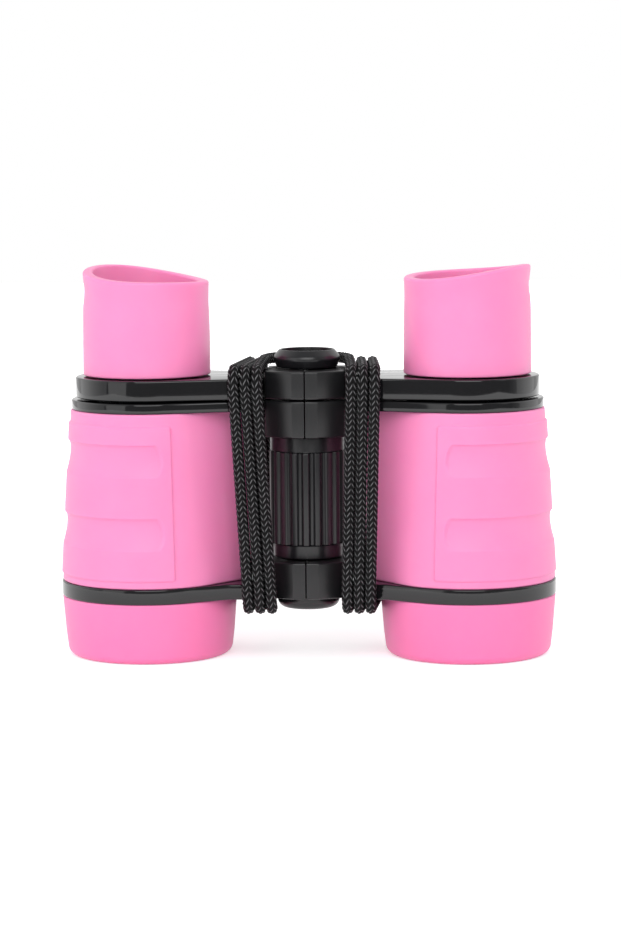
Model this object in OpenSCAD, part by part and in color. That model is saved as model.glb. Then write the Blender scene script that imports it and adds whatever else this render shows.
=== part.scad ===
// Children's field binoculars: two straight barrels on a folding hinge column with a centre focus wheel.
// Millimetres, +Z up. The hinge axis is the Z axis, the front faces -Y and the hoods stand on z = 0.

/* [Frame] */
// Room between the outer strand of the cord and the flange
barrel_room = 0.6; // [0.6:0.1:3]
// Furthest turn of the right half toward the back, in degrees
fold_angle = 65; // [40:1:65]
// Travel of the eyepieces on the focus screw
focus_travel = 6; // [3:0.5:7]
// Clearance between pieces that turn or slide on each other
running_fit = 0.05; // [0.02:0.01:0.1]
// Clearance between a piece and the seat that it is fixed in
seat_fit = 0.02; // [0.01:0.01:0.05]
// Gap between end faces that turn past each other
end_gap = 0.25; // [0.2:0.05:0.4]

/* [Objective] */
// Radius of the objective lens
lens_r = 15; // [13:0.1:15.2]
// Thickness of the lens at its edge
lens_edge = 2; // [1:0.1:3]
// Height of each convex lens face
lens_crown = 1.6; // [1:0.1:2]
// Gap between the hood's lip and the retaining ring
cell_gap = 1.3; // [0.4:0.1:2]
// Clearance round the lens in its cell
lens_clear = 0.1; // [0.05:0.05:0.2]
// Width of the ledge that the lens sits under
lens_ledge = 0.8; // [0.5:0.1:1.5]
// Gap between the lens edge and the ledge or the retaining ring
lens_gap = 0.3; // [0.25:0.05:0.4]
// Wall of the lens cell
cell_wall = 2.3; // [1.8:0.1:2.4]
// Height of the retaining ring
retainer_h = 2; // [1.5:0.1:2.4]
// Width of the retaining ring
retainer_w = 1.5; // [1:0.1:2]

/* [Hood] */
// Height of the objective hood
hood_h = 13.9; // [13:0.1:16]
// Wall of the hood where it meets the flange
hood_wall = 2.58; // [2:0.01:4]
// How much narrower the hood is just above its rounded foot
hood_taper = 1.1; // [0:0.1:2]
// Rounding of the hood's foot
hood_round = 2.2; // [1:0.1:2.6]
// Thickness of the lip under the lens cell
hood_lip = 5; // [4.6:0.1:5.4]
// How far the hood's lip reaches in past the lens cell
hood_lip_w = 0.5; // [0.2:0.1:1.5]

/* [Barrel] */
// How far the black flange stands out past the hood
flange_step = 0.1; // [0:0.05:1]
// Height of the flange
flange_h = 3.5; // [2.5:0.1:5]
// Height of the thick upper part that the eyepiece tube slides in
guide_h = 12.5; // [10:0.5:15]
// Clearance of the eyepiece tube in that part
guide_clear = 0.7; // [0.4:0.1:1]

/* [Armour] */
// Height of the armour sleeve
armour_h = 39.1; // [36:0.1:46]
// How far the sleeve stays inside the flange
armour_step = 0.2; // [0:0.05:1]
// How much narrower the sleeve is at its top
armour_taper = 2.4; // [1:0.1:3]
// Wall of the sleeve
armour_wall = 1.7; // [1.2:0.1:1.8]
// Clearance between sleeve and barrel
armour_clear = 0.15; // [0.1:0.05:0.3]
// Radius of the sleeve's nose beside the hinge
nose_r = 8; // [6:0.5:9]
// How far the nose reaches past the flange toward the hinge
nose_set = 3.2; // [1:0.1:3.6]
// Height that the grip pad stands proud of the sleeve
pad_rise = 0.35; // [0.2:0.05:0.5]
// Width of the slope at the pad's border
pad_border = 0.5; // [0.3:0.1:1]
// Plain margin of the sleeve below the pad
pad_foot_gap = 1.5; // [1:0.1:3]
// Plain margin of the sleeve above the pad
pad_top_gap = 2.6; // [1.5:0.1:4]
// How far the pad runs past the front toward the hinge, in degrees
pad_turn = 23; // [10:1:35]
// Height of a finger dent
dent_h = 7; // [5:0.5:9]
// Depth of a finger dent below the pad
dent_depth = 0.7; // [0.4:0.1:1]
// How far a finger dent takes to reach its depth from the pad's edge, in degrees
dent_run = 12; // [6:1:20]
// Heights of the finger dents as shares of the sleeve's height
dent_shares = [0.31, 0.73];

/* [Plates] */
// How far the top plate stays inside the sleeve
plate_step = 0.2; // [0:0.05:1]
// Thickness of the top plate
plate_h = 2.3; // [2:0.1:4]
// How far the eyepiece arm stays inside the top plate
arm_step = 1; // [0:0.1:2]
// Thickness of the eyepiece arm
arm_h = 4.7; // [4:0.1:6]
// Gap between the top plate and the eyepiece arm
arm_gap = 0.4; // [0.3:0.1:0.8]
// How much narrower the webs are than the eyepiece arm's disc, each side
web_step = 4.3; // [4:0.1:6]
// Rounding of the webs' inner corners
web_round = 3; // [2:0.5:4]
// How far the webs' inner end stays from the knuckles
web_set = 1.5; // [1.3:0.1:3]

/* [Hinge] */
// Height of the bottom knuckle row
low_row_h = 8.3; // [7:0.1:9]
// Height of the middle knuckle row
mid_row_h = 8.3; // [7.6:0.1:10]
// Rise of the top knuckle row above the eyepiece arm
top_row_rise = 1.6; // [0.8:0.1:2]
// Wall of a knuckle beside its hinge eye
knuckle_wall = 2.2; // [1.9:0.1:3]
// Wall of a knuckle in front of its hinge eye
knuckle_front_wall = 5.1; // [4.6:0.1:5.6]
// How far the slanted facets fall back from the flat front
facet_depth = 2.9; // [2:0.1:4]
// Depth of the knuckles behind the hinge axis, and of the necks that join them to the webs
knuckle_flank = 6.4; // [5:0.1:7]
// Half width of the flat front
facet_half = 2.9; // [2:0.1:4]
// Width of the split between the two halves at the front
split_w = 0.3; // [0.3:0.05:0.5]
// Outer radius of the hinge eyes
eye_r = 6.9; // [6.6:0.1:7.2]
// Clearance round a hinge eye
eye_clear = 0.3; // [0.2:0.05:0.4]
// Spare angle behind the knuckles at the end of the fold, in degrees
fold_spare = 1.5; // [1:0.5:3]

/* [Focus] */
// How far the ribs stand out past the collar above them
rib_step = 0.75; // [0.75:0.05:2]
// Height of the collar above the ribs
top_collar_h = 3.4; // [1:0.1:6]
// Number of ribs
wheel_ribs = 20; // [12:1:24]
// Radius of the grooves between ribs
groove_r = 0.7; // [0.4:0.05:0.9]
// Height of the collar under the ribs
low_collar_h = 3.1; // [2:0.1:5]
// How far the collar under the ribs stands out past its journal
low_collar_step = 2.4; // [0.6:0.1:3]
// How far the collar above the ribs stands out past its journal
top_collar_step = 2.45; // [0.6:0.05:3]
// Wall of the bottom hinge eyes
low_eye_wall = 1.9; // [1.2:0.1:2.4]
// Gap between the bottom journal and the hinge cap
journal_gap = 0.3; // [0.2:0.05:1]
// Wall of the middle hinge eyes
mid_eye_wall = 1.3; // [1:0.1:2]
// Wall of the journal round the focus screw
journal_wall = 1.6; // [1:0.1:2]
// Thickness of the wheel below the focus screw
wheel_floor = 1.3; // [1:0.1:4]

/* [Caps] */
// Height of the top cap
cap_h = 4; // [3:0.1:5]
// How far the top cap reaches past the hinge eyes
cap_over = 0.9; // [0.2:0.1:1.5]
// How much narrower the top cap is at its rim
cap_rim_in = 1.5; // [0.8:0.1:1.8]
// How much narrower the top cap is at its foot
cap_foot_in = 0.95; // [0:0.05:1.5]
// Height of the widest part as a share of the cap's height
cap_wide_share = 0.55;
// Width of the top cap's lip
cap_lip = 0.4; // [0.3:0.1:1]
// Thickness of the top cap's floor
cap_floor = 1.3; // [1:0.1:2]
// Radius of the cap screw's head
cap_screw_head_r = 3.1; // [2.5:0.1:3.5]
// Height of the cap screw's head
cap_screw_head_h = 1.6; // [1:0.1:2]
// Radius of the cap screw's shank
cap_screw_r = 1.4; // [1:0.1:1.6]
// Length of the cap screw's shank
cap_screw_l = 8; // [5:0.5:12]
// Height of the hinge cap below the bottom row
hinge_cap_h = 3; // [2:0.1:4]
// How far the hinge cap reaches past the hinge eyes
hinge_cap_over = 0.2; // [0:0.1:1]
// Rounding of the hinge cap's foot
hinge_cap_round = 2; // [1:0.1:2.2]
// Length of the hinge cap's spigot
hinge_spigot_l = 2.2; // [1.5:0.1:2.2]

/* [Eyepiece] */
// Width of the eyepiece arm's disc round its tube
arm_rim = 4.4; // [3.5:0.1:5]
// Length of the tube that stays in the barrel at the end of the focus travel
tube_hold = 13; // [10:0.5:15]
// Depth of the eyecup above the tube
cup_depth = 7; // [4:0.5:10]
// Wall of the eyepiece tube
tube_wall = 2.9; // [2:0.1:4]
// Clearance of the tube in the top plate
tube_clear = 0.1; // [0.05:0.05:0.15]
// Width of the ledge that the ocular lens sits on
ocular_ledge = 0.7; // [0.5:0.1:1.2]
// Thickness of the ocular lens at its edge
ocular_edge = 3; // [2.5:0.1:4]
// Depth of each hollow face of the ocular lens
ocular_dish = 0.9; // [0.4:0.1:1.1]
// Width of the ring that holds the ocular lens
ocular_ring_w = 2.2; // [1.5:0.1:3]
// Height of that ring
ocular_ring_h = 1.5; // [1:0.1:2]

/* [Eyecup] */
// Height of the eyecup at its axis
cup_h = 23; // [20:0.1:26]
// Wall of the eyecup over most of its height
cup_wall = 2.52; // [2:0.01:3]
// Depth of the waist under the rim
cup_waist_in = 0.3; // [0.1:0.05:0.6]
// How much narrower the eyecup is at its rim
cup_rim_in = 0.1; // [0:0.05:0.5]
// Heights of the plain part's end and of the waist as shares of the eyecup's height
cup_profile_shares = [0.5, 0.86];
// Slope of the rim, in degrees
cup_slope = 6; // [0:0.5:10]
// Turn of the left cup's high side from straight outward toward the back, in degrees
left_cup_turn = 42; // [-90:1:90]
// Turn of the right cup's high side from straight outward toward the front, in degrees
right_cup_turn = 10; // [-90:1:90]
// Clearance of the cup on the tube
cup_clear = 0.08; // [0.05:0.01:0.1]
// Gap between the cup and the arm
cup_gap = 0.3; // [0.2:0.1:0.5]

/* [Plate screws] */
// Angles of the plate screws round the barrel, from straight outward, in degrees
plate_screw_turns = [-65, 65];
// Radius of a plate screw's head
plate_screw_head_r = 1.6; // [1.4:0.1:1.7]
// Height of a plate screw's head
plate_screw_head_h = 1.2; // [0.8:0.1:1.4]
// Radius of a plate screw's shank
plate_screw_r = 0.9; // [0.7:0.1:1]
// Length of a plate screw's shank
plate_screw_l = 8; // [5:0.5:10]

/* [Strap] */
// Diameter of the neck cord
cord_d = 2.4; // [2:0.1:2.5]
// Strands of the winding on each side
strands = 3; // [1:1:4]
// Gap between neighbouring strands
strand_gap = 0.2; // [0.15:0.05:1]
// Gap between the cord and the edges that it goes over
cord_gap = 0.32; // [0.3:0.01:0.5]
// Lean of the left strands at the front, toward the hinge at the foot
left_lean = 2.8; // [0:0.1:3]
// Lean of the right strands at the front, toward the hinge at the foot
right_lean = 1.2; // [0:0.1:3]
// Gap between the knuckles and the inner strand
knuckle_room = 0.3; // [0.3:0.1:1.5]
// Lean of the strands at the back
back_lean = 1.4; // [0:0.1:2]
// How much nearer the hinge the left strands run at the back
left_back_in = 1; // [0:0.1:1.2]
// Gap between the cord and the top cap that it runs behind
loop_gap = 0.7; // [0.5:0.1:1]
// Gap between each cord's end and the middle, behind the top cap
loop_end_gap = 0.2; // [0.2:0.05:0.5]
// Gap between the cord and the top knuckle row that it runs over
loop_lift = 0.6; // [0.4:0.1:1]
// Gap between the outer strand at the back and the strap ear
ear_room = 2.4; // [1:0.1:4]
// How far the strap ear stands out behind the web
ear_out = 4.8; // [4.6:0.1:6]
// Wall of the strap ear
ear_wall = 1.85; // [1.2:0.05:2.4]
// Clearance round the cord in the strap ear
ear_clear = 0.15; // [0.1:0.05:0.6]
// How far the knot reaches past the strap ear's hole
knot_over = 0.65; // [0.3:0.05:1]

/* [Hidden] */
$fn = 96;

pink = "#ff9ad0";
black = "#1b1b1e";
clear_glass = "#cfe3ea";
steel = "#b9bcc0";

// Overrun of every cut past the face that it opens
cut = 1;
// Hidden overlap of bodies that are joined into one solid
overlap = 0.5;
// Steps from the middle of a lens face to its edge
lens_steps = 8;

// Lens cell and hood
cell_bore_r = lens_r + lens_clear;
cell_r = cell_bore_r + cell_wall;
light_r = lens_r - lens_ledge;
lens_z = hood_lip + cell_gap + retainer_h + lens_gap;
lens_top = lens_z + lens_edge;
hood_inner_r = cell_r + seat_fit;
hood_top_r = hood_inner_r + hood_wall;
hood_foot_r = hood_top_r - hood_taper;
hood_mouth_r = cell_bore_r - hood_lip_w;

// Radii up the barrel, each from the one below it
flange_r = hood_top_r + flange_step;
armour_foot_r = flange_r - armour_step;
armour_top_r = armour_foot_r - armour_taper;
plate_r = armour_top_r - plate_step;
arm_r = plate_r - arm_step;
tube_r = arm_r - arm_rim;
tube_bore_r = tube_r - tube_wall;
ocular_r = tube_bore_r + ocular_ledge;
cup_inner_r = tube_r + cup_clear;
cup_r = cup_inner_r + cup_wall;
cup_waist_r = cup_r - cup_waist_in;
cup_rim_r = cup_r - cup_rim_in;
// The plate screws sit in the middle of the barrel's wall
core_inset = armour_wall + armour_clear;
plate_screw_place = (tube_r + guide_clear + armour_top_r - core_inset) / 2;

// Hinge column
top_journal_r = eye_r - mid_eye_wall;
low_journal_r = eye_r - low_eye_wall;
screw_r = top_journal_r - journal_wall;
low_collar_r = low_journal_r + low_collar_step;
top_collar_r = top_journal_r + top_collar_step;
wheel_r = top_collar_r + rib_step;
knuckle_r = eye_r + knuckle_wall;
knuckle_front = eye_r + knuckle_front_wall;
cap_r = eye_r + cap_over;
cap_foot_r = cap_r - cap_foot_in;
cap_rim_r = cap_r - cap_rim_in;
cap_recess_r = cap_rim_r - cap_lip;
hinge_cap_r = eye_r + hinge_cap_over;

// Distances from the hinge axis: the cord beside the knuckles, then the webs, the noses and the barrels
strand_pitch = cord_d + strand_gap;
front_top = knuckle_r + cord_d / 2 + knuckle_room;
back_foot = front_top;
bridge_reach = back_foot + strand_pitch * (strands - 1) + barrel_room;
axis_x = flange_r + bridge_reach;
web_half = arm_r - web_step;
web_end = knuckle_r + web_set;
nose_reach = bridge_reach - nose_set;
nose_x = axis_x - nose_reach - nose_r;

// Strap ear
ear_hole_r = cord_d / 2 + ear_clear;
ear_r = ear_hole_r + ear_wall;
ear_x = back_foot + back_lean + strand_pitch * (strands - 1) + cord_d / 2 + ear_room + ear_r;
ear_y = web_half + ear_out;
knot_r = ear_hole_r + knot_over;

// Heights of the stack
flange_z = hood_h;
armour_z = flange_z + flange_h;
plate_z = armour_z + armour_h;
plate_top = plate_z + plate_h;
arm_z = plate_top + arm_gap;
arm_top = arm_z + arm_h;
cup_z = arm_top + cup_gap;
tube_z = arm_z - tube_hold - focus_travel;
tube_top = cup_z + cup_h - cup_depth;
top_row_h = arm_h + top_row_rise;
low_row_top = flange_z + low_row_h;
mid_row_z = plate_top - mid_row_h;
top_row_top = arm_z + top_row_h;
wheel_z = low_row_top + end_gap + low_collar_h;
wheel_top = mid_row_z - end_gap - top_collar_h;
wheel_h = wheel_top - wheel_z;
screw_z = wheel_z + wheel_floor;
low_journal_z = flange_z + hinge_spigot_l + journal_gap;
cap_z = top_row_top + end_gap;
guide_z = plate_z - guide_h;

// Ocular seat
ocular_z = tube_top - ocular_ring_h - ocular_edge;

// Grip pad and finger dents: edges of the pad's flat part, and rows across one dent as shares of its height
pad_z = armour_z + pad_foot_gap;
pad_top = plate_z - pad_top_gap;
pad_start = 90 - pad_turn;
pad_full = pad_start + atan(pad_border / armour_top_r);
dent_row_shares = [-0.5, -0.3, -0.1, 0.1, 0.3, 0.5];
// Points of the sleeve's outline on half the nose, on a flank, before the pad and on half the pad
nose_steps = 4;
flank_steps = 3;
plain_steps = 2;
pad_steps = 15;

// Angle of the knuckles' rear faces, up from straight outward
rear_angle = 90 - fold_angle / 2 - fold_spare;

// Winding: bend radius in cord diameters, and the centres of its four bends in the YZ plane,
// in the order rear foot, front foot, front top, rear top
bend_diameters = 1.5;
bend_r = bend_diameters * cord_d;
bend_inset = (bend_r - cord_d / 2 - cord_gap) / sqrt(2);
bend_y = web_half - bend_inset;
foot_bend_z = flange_z + bend_inset;
top_bend_z = arm_top - bend_inset;
bend_centres = [[bend_y, foot_bend_z], [-bend_y, foot_bend_z], [-bend_y, top_bend_z], [bend_y, top_bend_z]];
bend_steps = 5;
cord_sides = 6;
// Points this many steps apart on the route count as different strands
strand_steps = 8;
// Steps of the cord from the ear to its first bend, from its last bend to the top cap and round the cap
lead_steps = 6;
rise_steps = 3;
loop_steps = 6;
loop_r = cap_r + cord_d / 2 + loop_gap;
loop_z = top_row_top + cord_d / 2 + loop_lift;
loop_turn = 90 - asin(loop_end_gap / loop_r);

function ease(t) = let (u = max(0, min(1, t))) u * u * (3 - 2 * u);
function mix(a, b, s) = a + (b - a) * s;

function bend(k, x) = [
    for (t = [0:bend_steps])
        let (a = -90 * (k + t / bend_steps))
            [x, bend_centres[k][0] + bend_r * cos(a), bend_centres[k][1] + bend_r * sin(a)]
];
function strand_x(inner, i) = -(inner + strand_pitch * (strands - 1 - i));
// From the knot on the ear down to the first bend
function ear_lead(foot) = concat(
    [[-ear_x, ear_y, plate_top]],
    [
        for (i = [0:lead_steps - 1])
            let (s = i / lead_steps, e = ease(s))
                [
                    mix(-ear_x, strand_x(foot, 0), e),
                    mix(ear_y, bend_y + bend_r, e),
                    mix(plate_z, foot_bend_z, s)
                ]
    ]
);
// From the last bend up behind the top cap to the middle
function cap_lead() = concat(
    [
        for (i = [1:rise_steps])
            let (s = i / (rise_steps + 1), e = ease(s))
                [mix(-front_top, -loop_r, e), mix(-bend_y, 0, s), mix(top_bend_z + bend_r, loop_z, e)]
    ],
    [
        for (i = [0:loop_steps])
            let (a = 180 - loop_turn * i / loop_steps) [loop_r * cos(a), loop_r * sin(a), loop_z]
    ]
);
function winding_route(front_foot, rear_foot) = concat(
    ear_lead(rear_foot),
    [
        for (i = [0:strands - 1]) each concat(
            bend(0, strand_x(rear_foot, i)),
            bend(1, strand_x(front_foot, i)),
            bend(2, strand_x(front_top, i)),
            i < strands - 1 ? bend(3, strand_x(rear_foot + back_lean, i + 1)) : []
        )
    ],
    cap_lead()
);

function unit(v) = v / norm(v);
function across(v, t) = unit(v - (v * t) * t);
function tangents(route) = [
    for (i = [0:len(route) - 1])
        unit(route[min(i + 1, len(route) - 1)] - route[max(i - 1, 0)])
];
// Carries one side vector along the route so that the tube doesn't twist
function side_vectors(t, i, last) =
    i == len(t) ? [] : let (u = across(last, t[i])) concat([u], side_vectors(t, i + 1, u));
function point_to_line(p, a, b) =
    let (d = b - a, s = max(0, min(1, (p - a) * d / (d * d)))) norm(p - a - s * d);
function least_gap(route) = min([
    for (i = [0:len(route) - 2 - strand_steps]) for (j = [i + strand_steps:len(route) - 2])
        min(point_to_line(route[i], route[j], route[j + 1]), point_to_line(route[j], route[i], route[i + 1]))
]) - cord_d;

left_route = winding_route(front_top - left_lean, back_foot - left_back_in);
right_route = winding_route(front_top - right_lean, back_foot);
echo(least_cord_gap_left = least_gap(left_route), least_cord_gap_right = least_gap(right_route));

function sleeve_r(z) = armour_foot_r + (armour_top_r - armour_foot_r) * (z - armour_z) / armour_h;
function dent_z(i) = armour_z + dent_shares[i] * armour_h;
function dent_at(z) = dent_depth * max([
    for (i = [0:len(dent_shares) - 1]) max(0, 1 - (2 * (z - dent_z(i)) / dent_h) ^ 2)
]);
// How far the sleeve stands out from its plain taper: the pad, less the finger dents in it
function sleeve_rise(a, z) =
    a < pad_full || z <= pad_z || z >= pad_top ? 0 : pad_rise - dent_at(z) * ease((a - pad_full) / dent_run);
// Half of the outline at a height, from the nose's tip round to the far side of the barrel
function half_outline(z, inset, risen) =
    let (r = sleeve_r(z) - inset, n = nose_r - inset, turn = acos((r - n) / nose_x))
        concat(
            [for (i = [0:nose_steps]) let (a = turn * i / nose_steps) [nose_x + n * cos(a), n * sin(a)]],
            [
                for (i = [1:flank_steps])
                    let (s = i / (flank_steps + 1), q = (1 - s) * n + s * r)
                        [(1 - s) * nose_x + q * cos(turn), q * sin(turn)]
            ],
            [
                for (i = [0:plain_steps])
                    let (a = turn + (pad_start - turn) * i / plain_steps) [r * cos(a), r * sin(a)]
            ],
            [
                for (i = [0:pad_steps])
                    let (a = pad_full + (180 - pad_full) * i / pad_steps, q = r + (risen ? sleeve_rise(a, z) : 0))
                        [q * cos(a), q * sin(a)]
            ]
        );
function outline(z, inset, risen) =
    let (h = half_outline(z, inset, risen), n = len(h))
        [for (i = [0:2 * n - 3]) let (q = i < n ? h[i] : h[2 * n - 2 - i]) [q[0], i < n ? q[1] : -q[1], z]];
// The two triangles between point i and the next of two rows of n points
function skin_patch(low_row, high_row, i, n) =
    let (k = (i + 1) % n)
        [[low_row + i, high_row + i, high_row + k], [low_row + i, high_row + k, low_row + k]];

// Mirrors what is drawn for the left half when it belongs to the right half
module half(is_right) {
    if (is_right) mirror([1, 0, 0]) children();
    else children();
}

module at_barrel() {
    translate([-axis_x, 0, 0]) children();
}

// A tube of triangles swept along a route
module cord_tube(route) {
    t = tangents(route);
    u = side_vectors(t, 0, [1, 0, 0]);
    n = len(route);
    rings = [
        for (i = [0:n - 1]) for (s = [0:cord_sides - 1])
            let (a = 360 * s / cord_sides)
                route[i] + (cos(a) * u[i] + sin(a) * cross(t[i], u[i])) * cord_d / 2
    ];
    walls = [
        for (i = [0:n - 2]) for (s = [0:cord_sides - 1])
            let (p = i * cord_sides + s, q = i * cord_sides + (s + 1) % cord_sides)
                each [[p, p + cord_sides, q + cord_sides], [p, q + cord_sides, q]]
    ];
    ends = [
        for (s = [1:cord_sides - 2])
            each [[0, s, s + 1], [n * cord_sides - 1, n * cord_sides - 1 - s, n * cord_sides - 2 - s]]
    ];
    polyhedron(points = rings, faces = concat(walls, ends));
}

// Outline of a level of the frame: a disc round the barrel axis and a web toward the hinge
module web_outline(r) {
    translate([-axis_x, 0]) circle(r);
    translate([-axis_x, -web_half]) square([axis_x - web_end - web_round, 2 * web_half]);
    translate([-axis_x, -(web_half - web_round)]) square([axis_x - web_end, 2 * (web_half - web_round)]);
    for (side = [-1, 1])
        translate([-(web_end + web_round), side * (web_half - web_round)]) circle(web_round);
    translate([-web_end - web_round, -knuckle_flank]) square([web_end + web_round - eye_r, 2 * knuckle_flank]);
}

// Outline of the left half of a knuckle: facetted at the front, cut back behind for the fold
module knuckle_outline() {
    polygon([
        [-split_w / 2, -knuckle_front],
        [-facet_half, -knuckle_front],
        [-knuckle_r, facet_depth - knuckle_front],
        [-knuckle_r, knuckle_flank],
        [-knuckle_flank / tan(rear_angle), knuckle_flank],
        [-split_w / 2, split_w / 2 * tan(rear_angle)]
    ]);
}

// One leaf of a hinge row: web, half knuckle and an eye in the lower or the upper half of the row
module hinge_leaf(row_z, row_h, level_z, level_h, disc_r, bore_r, eye_is_low) {
    eye_h = (row_h - end_gap) / 2;
    difference() {
        union() {
            translate([0, 0, level_z]) linear_extrude(level_h) web_outline(disc_r);
            translate([0, 0, row_z]) linear_extrude(row_h) knuckle_outline();
            translate([0, 0, eye_is_low ? row_z : row_z + row_h - eye_h]) cylinder(r = eye_r, h = eye_h);
        }
        translate([0, 0, eye_is_low ? row_z + eye_h : row_z - cut])
            cylinder(r = eye_r + eye_clear, h = row_h - eye_h + cut);
        translate([0, 0, row_z - cut]) cylinder(r = bore_r, h = row_h + 2 * cut);
    }
}

// Core of the barrel inside the sleeve: a taper round the barrel axis with a nose beside the hinge
module barrel_core() {
    low = outline(armour_z, core_inset, false);
    n = len(low);
    ends = [[for (i = [0:n - 1]) i], [for (i = [0:n - 1]) 2 * n - 1 - i]];
    at_barrel() polyhedron(
        points = concat(low, outline(plate_z, core_inset, false)),
        faces = concat(ends, [for (i = [0:n - 1]) each skin_patch(0, n, i, n)])
    );
}

// A lens on z = 0 whose faces bulge by the crown, or are hollow where the crown is negative
module lens_form(r, edge, crown) {
    rotate_extrude() polygon(concat(
        [for (i = [0:lens_steps]) let (s = i / lens_steps) [r * s, -crown * (1 - s ^ 2)]],
        [for (i = [lens_steps:-1:0]) let (s = i / lens_steps) [r * s, edge + crown * (1 - s ^ 2)]]
    ));
}

module at_plate_screws(z) {
    for (a = plate_screw_turns)
        translate([-axis_x, 0, z]) rotate([0, 0, 180 + a]) translate([plate_screw_place, 0, 0]) children();
}

module barrel(is_right) {
    color(black) half(is_right) difference() {
        union() {
            hinge_leaf(
                flange_z, low_row_h, flange_z, flange_h, flange_r, low_journal_r + running_fit, !is_right
            );
            translate([-axis_x, 0, hood_lip]) cylinder(r = cell_r, h = flange_z - hood_lip + overlap);
            barrel_core();
        }
        translate([-axis_x, 0, hood_lip - cut])
            cylinder(r = cell_bore_r, h = lens_top + lens_gap - hood_lip + cut);
        translate([-axis_x, 0, hood_lip]) cylinder(r = light_r, h = guide_z - hood_lip);
        translate([-axis_x, 0, guide_z - cut]) cylinder(r = tube_r + guide_clear, h = guide_h + 2 * cut);
        at_plate_screws(plate_top - plate_screw_head_h - plate_screw_l)
            cylinder(r = plate_screw_r + seat_fit, h = plate_screw_l);
    }
}

module armour(is_right) {
    levels = concat(
        [armour_z, pad_z, pad_z + pad_border],
        [for (i = [0:len(dent_shares) - 1]) for (share = dent_row_shares) dent_z(i) + share * dent_h],
        [pad_top - pad_border, pad_top, plate_z]
    );
    outer = [for (z = levels) each outline(z, 0, true)];
    inner = [for (z = [armour_z, plate_z]) each outline(z, armour_wall, false)];
    n = len(outline(armour_z, 0, false));
    rows = len(levels);
    // Rows of points in the order that the skin passes them: up the outside and down the inside
    loop = concat([for (j = [0:rows - 1]) j], [rows + 1, rows, 0]);
    skin = [
        for (j = [0:len(loop) - 2]) for (i = [0:n - 1])
            each skin_patch(loop[j] * n, loop[j + 1] * n, i, n)
    ];
    color(pink) half(is_right) at_barrel() polyhedron(points = concat(outer, inner), faces = skin);
}

module top_plate(is_right) {
    color(black) half(is_right) difference() {
        union() {
            hinge_leaf(
                mid_row_z, mid_row_h, plate_z, plate_h, plate_r, top_journal_r + running_fit, !is_right
            );
            translate([-ear_x, ear_y, plate_z]) cylinder(r = ear_r, h = plate_h);
            translate([-ear_x - ear_r, 0, plate_z]) cube([2 * ear_r, ear_y, plate_h]);
        }
        translate([-axis_x, 0, plate_z - cut]) cylinder(r = tube_r + tube_clear, h = plate_h + 2 * cut);
        translate([-ear_x, ear_y, plate_z - cut]) cylinder(r = ear_hole_r, h = plate_h + 2 * cut);
        at_plate_screws(plate_z - cut) cylinder(r = plate_screw_r + seat_fit, h = plate_h + 2 * cut);
        at_plate_screws(plate_top - plate_screw_head_h)
            cylinder(r = plate_screw_head_r + seat_fit, h = plate_screw_head_h + cut);
    }
}

module plate_screws(is_right) {
    color(steel) half(is_right) {
        at_plate_screws(plate_top - plate_screw_head_h) cylinder(r = plate_screw_head_r, h = plate_screw_head_h);
        at_plate_screws(plate_top - plate_screw_head_h - plate_screw_l)
            cylinder(r = plate_screw_r, h = plate_screw_l);
    }
}

module objective_hood(is_right) {
    color(pink) half(is_right) at_barrel() rotate_extrude() polygon(concat(
        [[hood_mouth_r, 0]],
        [
            for (a = [-90:15:0])
                [hood_foot_r - hood_round + hood_round * cos(a), hood_round + hood_round * sin(a)]
        ],
        [[hood_top_r, hood_h], [hood_inner_r, hood_h], [hood_inner_r, hood_lip], [hood_mouth_r, hood_lip]]
    ));
}

module objective_lens(is_right) {
    color(clear_glass) half(is_right) at_barrel() translate([0, 0, lens_z])
        lens_form(lens_r, lens_edge, lens_crown);
}

module retaining_ring(is_right) {
    color(black) half(is_right) at_barrel() translate([0, 0, lens_z - lens_gap - retainer_h])
        difference() {
            cylinder(r = cell_bore_r - seat_fit, h = retainer_h);
            translate([0, 0, -cut]) cylinder(r = cell_bore_r - retainer_w, h = retainer_h + 2 * cut);
        }
}

module eyepiece_arm(is_right) {
    bore_r = screw_r + (is_right ? running_fit : seat_fit);
    color(black) half(is_right) difference() {
        hinge_leaf(arm_z, top_row_h, arm_z, arm_h, arm_r, bore_r, !is_right);
        translate([-axis_x, 0, arm_z - cut]) cylinder(r = tube_r + seat_fit, h = arm_h + 2 * cut);
    }
}

module eyepiece_tube(is_right) {
    color(black) half(is_right) at_barrel() difference() {
        translate([0, 0, tube_z]) cylinder(r = tube_r, h = tube_top - tube_z);
        translate([0, 0, tube_z - cut]) cylinder(r = tube_bore_r, h = tube_top - tube_z + 2 * cut);
        translate([0, 0, ocular_z]) cylinder(r = ocular_r + seat_fit, h = tube_top - ocular_z + cut);
    }
}

module ocular_lens(is_right) {
    color(clear_glass) half(is_right) at_barrel() translate([0, 0, ocular_z])
        lens_form(ocular_r, ocular_edge, -ocular_dish);
}

module ocular_ring(is_right) {
    color(black) half(is_right) at_barrel() translate([0, 0, tube_top - ocular_ring_h]) difference() {
        cylinder(r = ocular_r, h = ocular_ring_h);
        translate([0, 0, -cut]) cylinder(r = ocular_r - ocular_ring_w, h = ocular_ring_h + 2 * cut);
    }
}

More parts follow.
